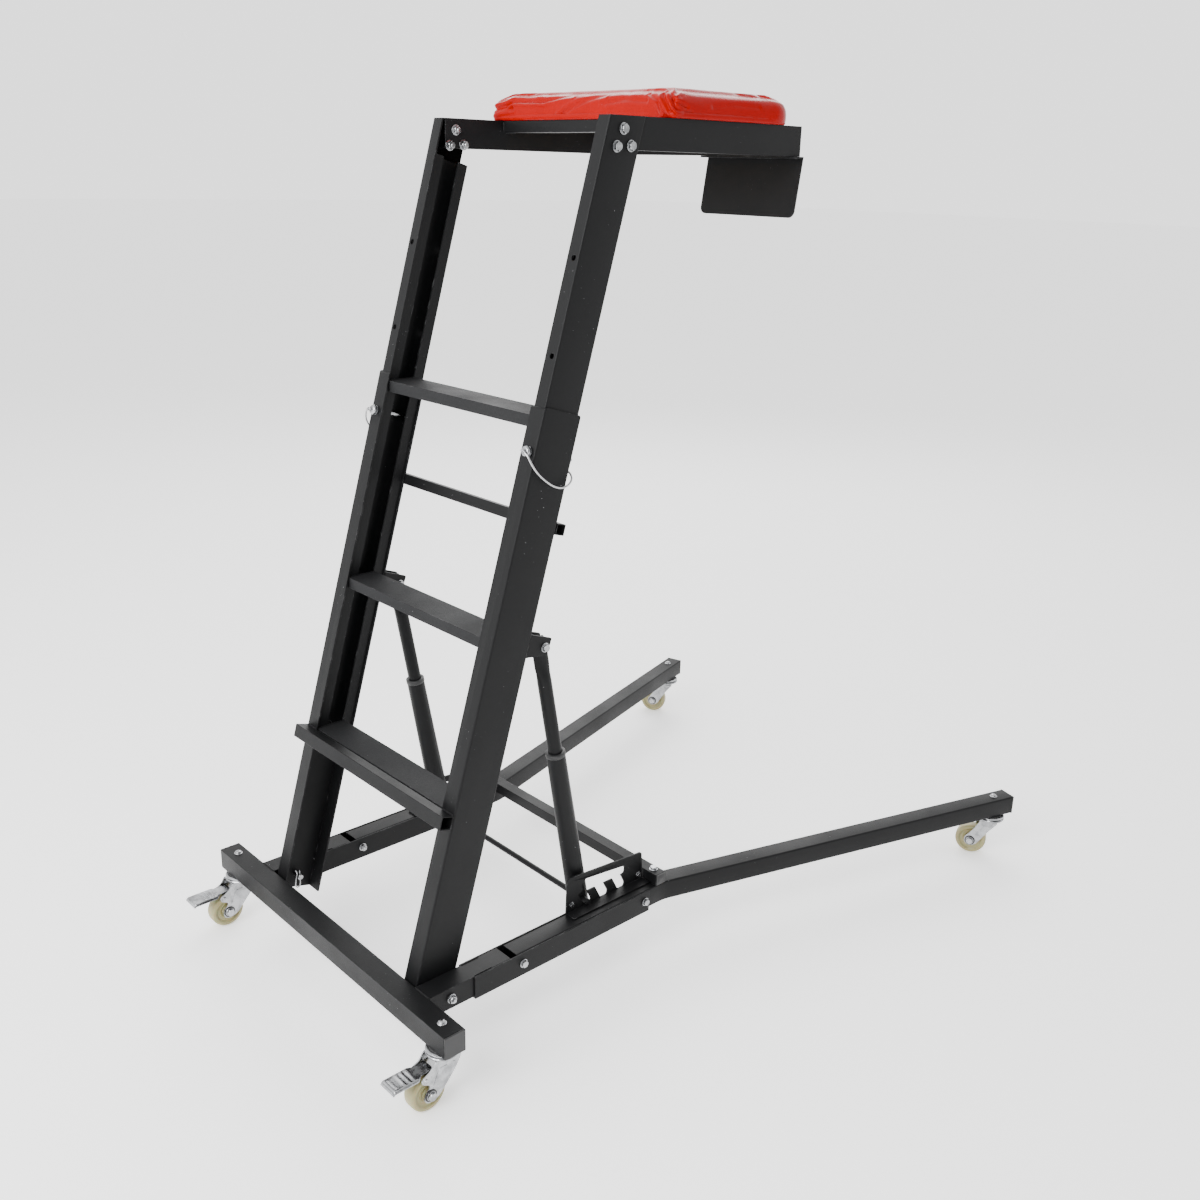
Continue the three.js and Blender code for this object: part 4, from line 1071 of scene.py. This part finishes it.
class CREEPER_OT_pad(bpy.types.Operator):
    """Build the stuffed chest pad: an inflated cover with tucked corners and a hem"""

    bl_idname = "creeper.pad"
    bl_label = "Chest pad"

    def execute(self, context):
        sizes = context.scene.creeper_pad
        mesh = pad_form(sizes.crown)
        mesh = with_modifier(mesh, "REMESH", mode="VOXEL", voxel_size=sizes.voxel)
        mesh = inflated(mesh, sizes.travel)
        mesh = with_modifier(mesh, "SUBSURF", levels=1, render_levels=1)
        self.fold(mesh)
        mesh = with_modifier(mesh, "SMOOTH", factor=0.2, iterations=1)
        for polygon in mesh.polygons:
            polygon.use_smooth = True
        pad = new_piece("stuffed_pad", mesh, "ladder_upper", "red_vinyl")
        pad.modifiers.new("Smooth cover", "SUBSURF").levels = 1
        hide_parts("chest_pad")
        self.hem()
        return {"FINISHED"}

    def fold(self, mesh):
        """Draws the cover in along its folds, and keeps it within the pad's box."""
        room = 1.2 * MM
        normals = [Vector(v.normal) for v in mesh.vertices]
        for vertex, normal in zip(mesh.vertices, normals):
            local = (vertex.co - PAD_LOW) / MM
            if local.z > 2:
                vertex.co -= normal * fold_depth(local.x, local.y, local.z) * MM
            vertex.co.x = min(max(vertex.co.x, PAD_LOW.x - room), PAD_HIGH.x + room)
            vertex.co.y = min(max(vertex.co.y, PAD_LOW.y - room), PAD_HIGH.y + room)
            vertex.co.z = min(max(vertex.co.z, PAD_LOW.z), PAD_HIGH.z + room)

    def hem(self):
        """The edge of the cover, pulled round the board and under it."""
        bm = bmesh.new()
        wrap = ((24, 0), (5, 0), (3, 1.5), (2.6, 5), (3.4, 9), (6, 10.4), (8.7, 10.2), (8.7, 1),
                (24, 0.9))
        loops = [[bm.verts.new((x, y, PAD_LOW.z + height * MM))
                  for x, y in pad_ring(inset * MM, 1 * MM)] for inset, height in wrap]
        for a, b in zip(loops, loops[1:] + loops[:1]):
            bridge(bm, a, b)
        piece = new_piece("pad_hem", mesh_from(bm, 180), "ladder_upper", "red_vinyl")


# ---------------------------------------------------------------- fasteners and welds


CROSSBAR_LOW, CROSSBAR_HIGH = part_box("rear_crossbar")
LEG_SPLAY = math.radians(17.1)
RUNGS = ("upper_rung", "middle_rung", "bottom_step")

# Measures in millimetres. Those of the base are from the middle of the rear crossbar's top.
HALF_TUBE = 20
LEG_SIDE = 257
LEG_CORNER = 568.0
LEG_TANGENT = 18.0
LEG_END = 1405.0
CHANNEL_BOLTS = (216, 512)
CROSS_TUBE_BOLT = 555
PLATE_BOLTS = ((360, 17), (529.5, 14))
PLATE_THICK = 3
CHANNEL_WELDS = ((113, 150), (350, 392))

# Those of the ladder are (across the rails, along them) from its pivot.
BRACKET_BOLT = (75, 596)
RAIL_WELDS = ((-42.2, 282), (-42.2, 306), (38.2, 785.5), (38.2, 804.5))
BRACKET_WELD = (578, 614)
STRUT_SIDE = 214.0
BRACKET_HALF = 16

# Those of the deck's bolts are (ahead, up) from the rear top corner of its beams.
DECK_BOLTS = ((22.3, -19.4), (8.8, -45.3), (38.8, -43.9))
UPPER_WEB = 229.0
DECK_NUTS = 201.7

# Those of the struts run down from their bolt.
STRUT_REACH = 532.2
SLEEVE_REACH = 318.0


def from_crossbar(x, y, above):
    """A place from the middle of the rear crossbar's top, in millimetres."""
    middle = (CROSSBAR_LOW.x + CROSSBAR_HIGH.x) / 2
    return Vector((middle + x * MM, PIVOT.y + y * MM, CROSSBAR_HIGH.z + above * MM))


def by_ladder(across, y, along):
    """A place given across and along the rails, from the ladder's pivot, in millimetres."""
    return PIVOT + (RAIL_OUT * across + RAIL_UP * along + Vector((0, y, 0))) * MM


def outer_and_inner(node, sign):
    """Where a node on one side of the middle ends, outwards and inwards."""
    low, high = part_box(node)
    return (low.y, high.y) if sign < 0 else (high.y, low.y)


class CREEPER_OT_fasteners(bpy.types.Operator):
    """Build the plated bolts, nuts and caster stems"""

    bl_idname = "creeper.fasteners"
    bl_label = "Fasteners"

    # Build the plated bolts and nuts, and the domed nuts on the caster stems
    def execute(self, context):
        for side, sign in SIDES:
            outward = Vector((0, sign, 0))
            self.deck(side, sign, outward)
            self.base(side, sign, outward)
            self.bracket(side, sign, outward)
        return {"FINISHED"}

    def put(self, name, bm, body):
        new_piece(name, mesh_from(bm, 28), body, "zinc")

    def deck(self, side, sign, outward):
        """The three bolts on each side that hold a deck beam to its rail."""
        low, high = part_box(f"deck_beam_{side}")
        bm = bmesh.new()
        for along, above in DECK_BOLTS:
            x, z = low.x + along * MM, high.z + above * MM
            add_bolt(bm, Vector((x, PIVOT.y + sign * UPPER_WEB * MM, z)), outward, 8.2 * MM)
            add_bolt(bm, Vector((x, PIVOT.y + sign * DECK_NUTS * MM, z)), -outward, 8.2 * MM,
                     nut=True)
        self.put(f"deck_bolts_{side}", bm, "ladder_upper")

    def base(self, side, sign, outward):
        """The bolts of a side channel, its notch plate and leg, and the nuts of its casters."""
        outer, inner = outer_and_inner(f"side_channel_{side}", sign)
        bm = bmesh.new()
        for x in CHANNEL_BOLTS:
            place = from_crossbar(x, 0, -HALF_TUBE)
            add_bolt(bm, Vector((place.x, outer, place.z)), outward, 7.4 * MM)
        place = from_crossbar(CHANNEL_BOLTS[0], 0, -HALF_TUBE)
        add_bolt(bm, Vector((place.x, inner, place.z)), -outward, 7.4 * MM, nut=True)
        back = outer_and_inner(f"notch_plate_{side}", sign)[1]
        face = back + sign * PLATE_THICK * MM
        for x, above in PLATE_BOLTS:
            place = from_crossbar(x, 0, above)
            add_bolt(bm, Vector((place.x, face, place.z)), outward, 5.6 * MM)
        add_bolt(bm, Vector((place.x, back, place.z)), -outward, 5.6 * MM, nut=True)
        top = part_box("front_cross_tube")[1].z
        place = from_crossbar(CROSS_TUBE_BOLT, sign * LEG_SIDE, 0)
        add_bolt(bm, Vector((place.x, place.y, top)), UP, 7.4 * MM)
        for end in ("rear", "front"):
            stem = JOINTS[f"{end}_caster_{side}_turn"]["pos_m"]
            dome_nut(bm, Vector((stem[0], stem[1], CROSSBAR_HIGH.z)), UP, 6.4 * MM)
        self.put(f"base_bolts_{side}", bm, "base")

    def bracket(self, side, sign, outward):
        """The bolt that a strut hangs from."""
        bm = bmesh.new()
        across, along = BRACKET_BOLT
        add_bolt(bm, by_ladder(across, sign * (STRUT_SIDE + BRACKET_HALF), along), outward,
                 7.6 * MM)
        add_bolt(bm, by_ladder(across, sign * (STRUT_SIDE - BRACKET_HALF), along), -outward,
                 7.6 * MM, nut=True)
        self.put(f"bracket_bolt_{side}", bm, "ladder_lower")


class CREEPER_OT_pivots(bpy.types.Operator):
    """Build the bolts that the ladder turns on"""

    bl_idname = "creeper.pivots"
    bl_label = "Pivot bolts"

    def execute(self, context):
        for side, sign in SIDES:
            outer, inner = outer_and_inner(f"pivot_pin_{side}", sign)
            bm = bmesh.new()
            head = outer - sign * 5 * MM
            matrix = facing(Vector((0, sign, 0)), Vector((PIVOT.x, head, PIVOT.z)))
            long = abs(head - inner)
            turn(bm, [(r * MM, z) for r, z in (
                (0, -long), (4.6, -long), (5.9, -long + 2 * MM), (5.9, 0.4 * MM), (0, 0.4 * MM))],
                 32, matrix)
            add_bolt(bm, Vector((PIVOT.x, head, PIVOT.z)), Vector((0, sign, 0)), 7.8 * MM,
                     nut=True)
            piece = new_piece(f"pivot_bolt_{side}", mesh_from(bm, 28), "base", "zinc")
            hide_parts(f"pivot_pin_{side}")
        return {"FINISHED"}


class CREEPER_OT_legs(bpy.types.Operator):
    """Build the splayed front legs: square tube with rolled corners and one bend"""

    bl_idname = "creeper.legs"
    bl_label = "Front legs"

    def execute(self, context):
        for side, sign in SIDES:
            leg = new_piece(f"bent_leg_{side}", self.tube(side, sign), "base", "black_coat")
            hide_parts(f"leg_{side}")
        return {"FINISHED"}

    def plan(self, start):
        """Points along the middle of a leg, with the way that it runs at each."""
        points = [(start, LEG_SIDE, 0.0)]
        steps = 12
        radius = LEG_TANGENT / math.tan(LEG_SPLAY / 2)
        for i in range(steps + 1):
            angle = LEG_SPLAY * i / steps
            points.append((LEG_CORNER - LEG_TANGENT + radius * math.sin(angle),
                           LEG_SIDE + radius * (1 - math.cos(angle)), angle))
        reach = (LEG_END - LEG_CORNER) * math.tan(LEG_SPLAY)
        points.append((LEG_END, LEG_SIDE + reach, LEG_SPLAY))
        return points

    def tube(self, side, sign):
        """The tube's outer and inner skins, joined at its open ends."""
        start = (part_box(f"leg_{side}")[0].x - CROSSBAR_LOW.x) / MM
        start -= (CROSSBAR_HIGH.x - CROSSBAR_LOW.x) / MM / 2
        bm = bmesh.new()
        skins = []
        for half, corner in ((19.95, 3.2), (17.9, 1.4)):
            section = []
            for u, v, turned in ((1, 1, 0), (-1, 1, 90), (-1, -1, 180), (1, -1, 270)):
                for i in range(5):
                    a = math.radians(turned + 22.5 * i)
                    section.append((u * (half - corner) + corner * math.cos(a),
                                    v * (half - corner) + corner * math.sin(a)))
            skins.append([[bm.verts.new(from_crossbar(
                x - across * math.sin(angle), sign * (y + across * math.cos(angle)),
                up - HALF_TUBE))
                for across, up in section] for x, y, angle in self.plan(start)])
        for skin in skins:
            for a, b in zip(skin, skin[1:]):
                bridge(bm, a, b)
        outer, inner = skins
        for end in (0, -1):
            bridge(bm, outer[end], inner[end])
        return mesh_from(bm, 30)


class CREEPER_OT_welds(bpy.types.Operator):
    """Build the weld beads, coated with the steel that they join"""

    bl_idname = "creeper.welds"
    bl_label = "Welds"

    def execute(self, context):
        self.base()
        self.lower()
        self.upper()
        return {"FINISHED"}

    def put(self, name, bm, body):
        new_piece(name, mesh_from(bm, 180), body, "black_coat")

    def base(self):
        """Round each side stub where it meets the crossbar, and along the side channels."""
        bm = bmesh.new()
        face = HALF_TUBE + 0.2
        foot = 1 - 2 * HALF_TUBE
        for _, sign in SIDES:
            near, far = sign * (LEG_SIDE - HALF_TUBE), sign * (LEG_SIDE + HALF_TUBE)
            weld(bm, from_crossbar(face, near, -0.3), from_crossbar(face, far, -0.3), 1.9 * MM)
            weld(bm, from_crossbar(face, far, -1), from_crossbar(face, far, foot), 1.9 * MM)
            weld(bm, from_crossbar(face, near, -1), from_crossbar(face, near, foot), 1.9 * MM)
            for y in (near + sign, far - sign):
                for start, end in CHANNEL_WELDS:
                    weld(bm, from_crossbar(start, y, 0), from_crossbar(end, y, 0), 1.5 * MM)
        self.put("base_welds", bm, "base")

    def lower(self):
        """Across the lower rails' flanges, and beside the strut brackets."""
        bm = bmesh.new()
        for _, sign in SIDES:
            inner, outer = sign * 201, sign * 231
            for across, along in RAIL_WELDS:
                weld(bm, by_ladder(across, inner, along), by_ladder(across, outer, along), 1.7 * MM)
            for y in (STRUT_SIDE - BRACKET_HALF, STRUT_SIDE + BRACKET_HALF):
                start, end = (by_ladder(38.3, sign * y, along) for along in BRACKET_WELD)
                weld(bm, start, end, 1.5 * MM)
        self.put("lower_ladder_welds", bm, "ladder_lower")

    def upper(self):
        """Along the ends of the rungs and of the deck's front rail and rear strip."""
        bm = bmesh.new()
        for name in RUNGS:
            low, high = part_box(name)
            for y in (low.y, high.y):
                for z in (low.z, high.z):
                    weld(bm, Vector((low.x + 3 * MM, y, z)), Vector((high.x - 3 * MM, y, z)),
                         1.7 * MM)
        for name in ("deck_front_rail", "deck_rear_strip"):
            low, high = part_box(name)
            for y in (low.y, high.y):
                weld(bm, Vector((low.x + 2 * MM, y, low.z)), Vector((high.x - 2 * MM, y, low.z)),
                     1.7 * MM)
                weld(bm, Vector((low.x, y, low.z + 1 * MM)), Vector((low.x, y, high.z - 1 * MM)),
                     1.6 * MM)
        self.put("upper_ladder_welds", bm, "ladder_upper")


# ---------------------------------------------------------------- struts, plugs, pins and cables


class CREEPER_OT_trims(bpy.types.Operator):
    """Build the strut collars and the plugs in the front cross tube"""

    bl_idname = "creeper.trims"
    bl_label = "Collars and plugs"

    def execute(self, context):
        low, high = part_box("front_cross_tube")
        middle = (low + high) / 2
        for side, sign in SIDES:
            mouth = STRUT_BOLT + STRUT_DOWN * (STRUT_REACH - SLEEVE_REACH) * MM
            mouth.y = PIVOT.y + sign * STRUT_SIDE * MM
            collar = ring_mesh(facing(-STRUT_DOWN, mouth), 13.0, 17.9, -7, 1.6, 0.8)
            new_piece(f"strut_collar_{side}", collar, "strut_sleeves", "black_plastic")
            end = Matrix.Translation((middle.x, low.y if sign < 0 else high.y, middle.z))
            bm = bmesh.new()
            add_plate(bm, rectangle(-12, 12, 10.4, 2), 1.8 * MM,
                      upright(end, sign * 0.9 * MM, sign), 0.7 * MM)
            add_plate(bm, rectangle(-7, 7, 5.6, 1.5), 0.8 * MM,
                      upright(end, sign * 1.9 * MM, sign), 0.3 * MM)
            new_piece(f"cross_tube_plug_{side}", mesh_from(bm), "base", "black_plastic")
        return {"FINISHED"}


# Measures in millimetres. The lanyard's route is (across the rail, from the ladder's middle,
# along the rail from the pin), from the pin's head round the rail to the rivet.
PIN_ALONG = 908.0
PIN_SIDE = 217.5
RIVET_BELOW = 17
CABLE_WIDTH = 3.2
CABLE_LAY = 14
CABLE_ROUTE = (
    (-54.5, 217.5, 3), (-55.8, 222.5, -1), (-53.3, 230.5, -7), (-46, 237.5, -19),
    (-34, 241, -30), (-16, 242, -39), (4, 242, -45), (22, 241.5, -45), (36, 240, -38),
    (44, 235.5, -29), (46, 228.5, -22), (43.5, 222, -18), (39.9, 217.5, -17),
)


def lay_strands(bm, path, radius):
    """A laid wire rope, whose six outer strands twist along the path."""
    lengths = [0.0]
    for a, b in zip(path, path[1:]):
        lengths.append(lengths[-1] + (b - a).length)

    def section(i):
        twist = lengths[i] / (CABLE_LAY * MM) * 2 * math.pi
        ring = []
        for k in range(24):
            angle = 2 * math.pi * k / 24
            bulge = radius * (0.9 + 0.1 * abs(math.cos(3 * angle + twist)))
            ring.append((bulge * math.cos(angle), bulge * math.sin(angle)))
        return ring

    sweep(bm, path, section)


class CREEPER_OT_pins(bpy.types.Operator):
    """Build the two lock pins and their wire lanyards"""

    bl_idname = "creeper.pins"
    bl_label = "Lock pins and lanyards"

    def execute(self, context):
        for side, sign in SIDES:
            self.pin(side, sign)
            self.lanyard(side, sign)
        return {"FINISHED"}

    def pin(self, side, sign):
        """A turned pin with a flanged head and a wire ring behind it."""
        bm = bmesh.new()
        matrix = facing(RAIL_OUT, by_ladder(0, sign * PIN_SIDE, PIN_ALONG))
        turn(bm, in_mm((
            (0, -52.2), (5.6, -52.2), (7.6, -51.4), (8.8, -49.6), (9.0, -47.4), (8.6, -45.4),
            (7.4, -44.6), (7.2, -43.6), (8.4, -43.3), (8.4, -42.5), (4.5, -42.4), (4.5, 46.2),
            (3.4, 49.2), (0, 50))), 40, matrix)
        hoop = [matrix @ Vector((0, 4.2 * MM * math.cos(a), (-53.6 + 4.2 * math.sin(a)) * MM))
                for a in (2 * math.pi * i / 24 for i in range(25))]
        wire = circle(0.8 * MM, 8)
        sweep(bm, hoop, lambda i: wire)
        piece = new_piece(f"turned_lock_pin_{side}", mesh_from(bm), f"lock_pin_{side}", "zinc")
        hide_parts(f"lock_pin_{side}")

    def lanyard(self, side, sign):
        """A wire rope that joins the pin's head to the rail, crimped at both ends."""
        route = [by_ladder(across, sign * y, PIN_ALONG + along) for across, y, along in CABLE_ROUTE]
        path = smooth_path(route, 5)
        bm = bmesh.new()
        lay_strands(bm, path, CABLE_WIDTH / 2 * MM)
        cable = new_object(f"wire_lanyard_{side}", mesh_from(bm, 180), "cable")
        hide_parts(f"pin_lanyard_{side}")
        crimps = [self.crimp(f"head_crimp_{side}", path[3], path[6], f"lock_pin_{side}"),
                  self.crimp(f"rail_crimp_{side}", path[-4], path[-7], "ladder_lower")]
        self.rivet(side, sign)
        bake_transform(cable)

    def crimp(self, name, start, end, body):
        """A tube pressed on to the rope between two places."""
        bm = bmesh.new()
        long = (end - start).length / MM
        profile = ((1.5, 0), (2.2, 0), (2.5, 0.4), (2.5, long - 0.4), (2.2, long), (1.5, long))
        turn(bm, in_mm(profile), 20, facing((end - start).normalized(), start))
        return new_piece(name, mesh_from(bm), body, "zinc")

    def rivet(self, side, sign):
        """The rivet that holds the rope to the rail's front flange."""
        bm = bmesh.new()
        dome_nut(bm, by_ladder(38.0, sign * PIN_SIDE, PIN_ALONG - RIVET_BELOW), RAIL_OUT, 3.2 * MM)
        new_piece(f"lanyard_rivet_{side}", mesh_from(bm), "ladder_lower", "zinc")


# ---------------------------------------------------------------- stage


FLOOR_REACH = 45.0
SOFT_LIGHTS = (
    ("key", 230, 2.6, (-3.4, -0.9, 2.7)),
    ("fill", 90, 4.0, (-3.6, 1.0, 2.4)),
    ("rim", 110, 3.0, (2.6, 2.4, 3.2)),
)
LIGHTS_AIM = Vector((0, 0, 0.7))
BRIGHT_SIDE = (0.68, 0.73, 0.05)


class CREEPER_OT_stage(bpy.types.Operator):
    """Set the camera, a plain pale floor and soft studio lights"""

    bl_idname = "creeper.stage"
    bl_label = "Stage"

    def execute(self, context):
        stage = context.scene.creeper_stage
        self.camera(context, stage)
        floor_mesh = bpy.data.meshes.new("floor")
        corners = [(x * FLOOR_REACH, y * FLOOR_REACH, 0)
                   for x, y in ((-1, -1), (1, -1), (1, 1), (-1, 1))]
        floor_mesh.from_pydata(corners, [], [(0, 1, 2, 3)])
        floor = bpy.data.objects.new("floor", floor_mesh)
        floor_mesh.materials.append(MATERIALS["floor"])
        context.scene.collection.objects.link(floor)
        for lamp in SOFT_LIGHTS:
            self.light(context, *lamp)
        world = bpy.data.worlds.new("studio")
        context.scene.world = world
        world.use_nodes = True
        self.cyclorama(world.node_tree)
        return {"FINISHED"}

    def cyclorama(self, tree):
        """Soft white surround, brighter behind the object than in front of it."""
        sky = tree.nodes["Background"]
        sky.inputs["Color"].default_value = (1, 1, 1, 1)
        way = tree.nodes.new("ShaderNodeTexCoord").outputs["Generated"]
        dot = tree.nodes.new("ShaderNodeVectorMath")
        dot.operation = "DOT_PRODUCT"
        dot.inputs[1].default_value = BRIGHT_SIDE
        tree.links.new(way, dot.inputs[0])
        ramp = tree.nodes.new("ShaderNodeMapRange")
        ramp.interpolation_type = "SMOOTHSTEP"
        tree.links.new(dot.outputs["Value"], ramp.inputs["Value"])
        ramp.inputs["From Min"].default_value = -0.6
        ramp.inputs["From Max"].default_value = 0.6
        ramp.inputs["To Min"].default_value = 0.6
        ramp.inputs["To Max"].default_value = 2.0
        tree.links.new(ramp.outputs["Result"], sky.inputs["Strength"])

    def camera(self, context, stage):
        """A camera set by the way it looks, its roll and its place from the ladder's pivot."""
        data = bpy.data.cameras.new("camera")
        data.lens = stage.lens
        data.sensor_width = 36
        data.clip_end = 100
        camera = bpy.data.objects.new("camera", data)
        context.scene.collection.objects.link(camera)
        forward = Vector((-math.sin(stage.azimuth) * math.cos(stage.pitch),
                          math.cos(stage.azimuth) * math.cos(stage.pitch),
                          -math.sin(stage.pitch)))
        level = Vector((math.cos(stage.azimuth), math.sin(stage.azimuth), 0))
        right = level * math.cos(stage.roll) + level.cross(forward) * math.sin(stage.roll)
        up = right.cross(forward)
        basis = Matrix((right, up, -forward)).transposed().to_4x4()
        camera.matrix_world = Matrix.Translation(PIVOT + Vector(stage.place)) @ basis
        context.scene.camera = camera

    def light(self, context, name, power, size, place):
        """A square lamp that faces the object."""
        data = bpy.data.lights.new(name, "AREA")
        data.energy = power
        data.size = size
        lamp = bpy.data.objects.new(name, data)
        context.scene.collection.objects.link(lamp)
        lamp.location = place
        aim = LIGHTS_AIM - Vector(place)
        lamp.rotation_euler = aim.to_track_quat("-Z", "Y").to_euler()


# ---------------------------------------------------------------- panel


OPERATORS = (
    CREEPER_OT_materials,
    CREEPER_OT_frame,
    CREEPER_OT_casters,
    CREEPER_OT_pad,
    CREEPER_OT_fasteners,
    CREEPER_OT_pivots,
    CREEPER_OT_legs,
    CREEPER_OT_welds,
    CREEPER_OT_trims,
    CREEPER_OT_pins,
    CREEPER_OT_stage,
)


class CREEPER_PT_panel(bpy.types.Panel):
    """Lists the pieces that can be built"""

    bl_label = "Topside creeper"
    bl_idname = "CREEPER_PT_panel"
    bl_space_type = "VIEW_3D"
    bl_region_type = "UI"
    bl_category = "Creeper"

    def draw(self, context):
        for operator in OPERATORS:
            self.layout.operator(operator.bl_idname)


PROPERTY_GROUPS = (CreeperFinish, CreeperPad, CreeperStage)
CLASSES = (*PROPERTY_GROUPS, *OPERATORS, CREEPER_PT_panel)


def register():
    for item in CLASSES:
        bpy.utils.register_class(item)
    bpy.types.Scene.creeper_finish = bpy.props.PointerProperty(type=CreeperFinish)
    bpy.types.Scene.creeper_pad = bpy.props.PointerProperty(type=CreeperPad)
    bpy.types.Scene.creeper_stage = bpy.props.PointerProperty(type=CreeperStage)


def unregister():
    del bpy.types.Scene.creeper_finish
    del bpy.types.Scene.creeper_pad
    del bpy.types.Scene.creeper_stage
    for item in reversed(CLASSES):
        bpy.utils.unregister_class(item)


def main():
    random.seed(7)
    register()
    for operator in OPERATORS:
        group, name = operator.bl_idname.split(".")
        getattr(getattr(bpy.ops, group), name)()


if __name__ == "__main__":
    main()
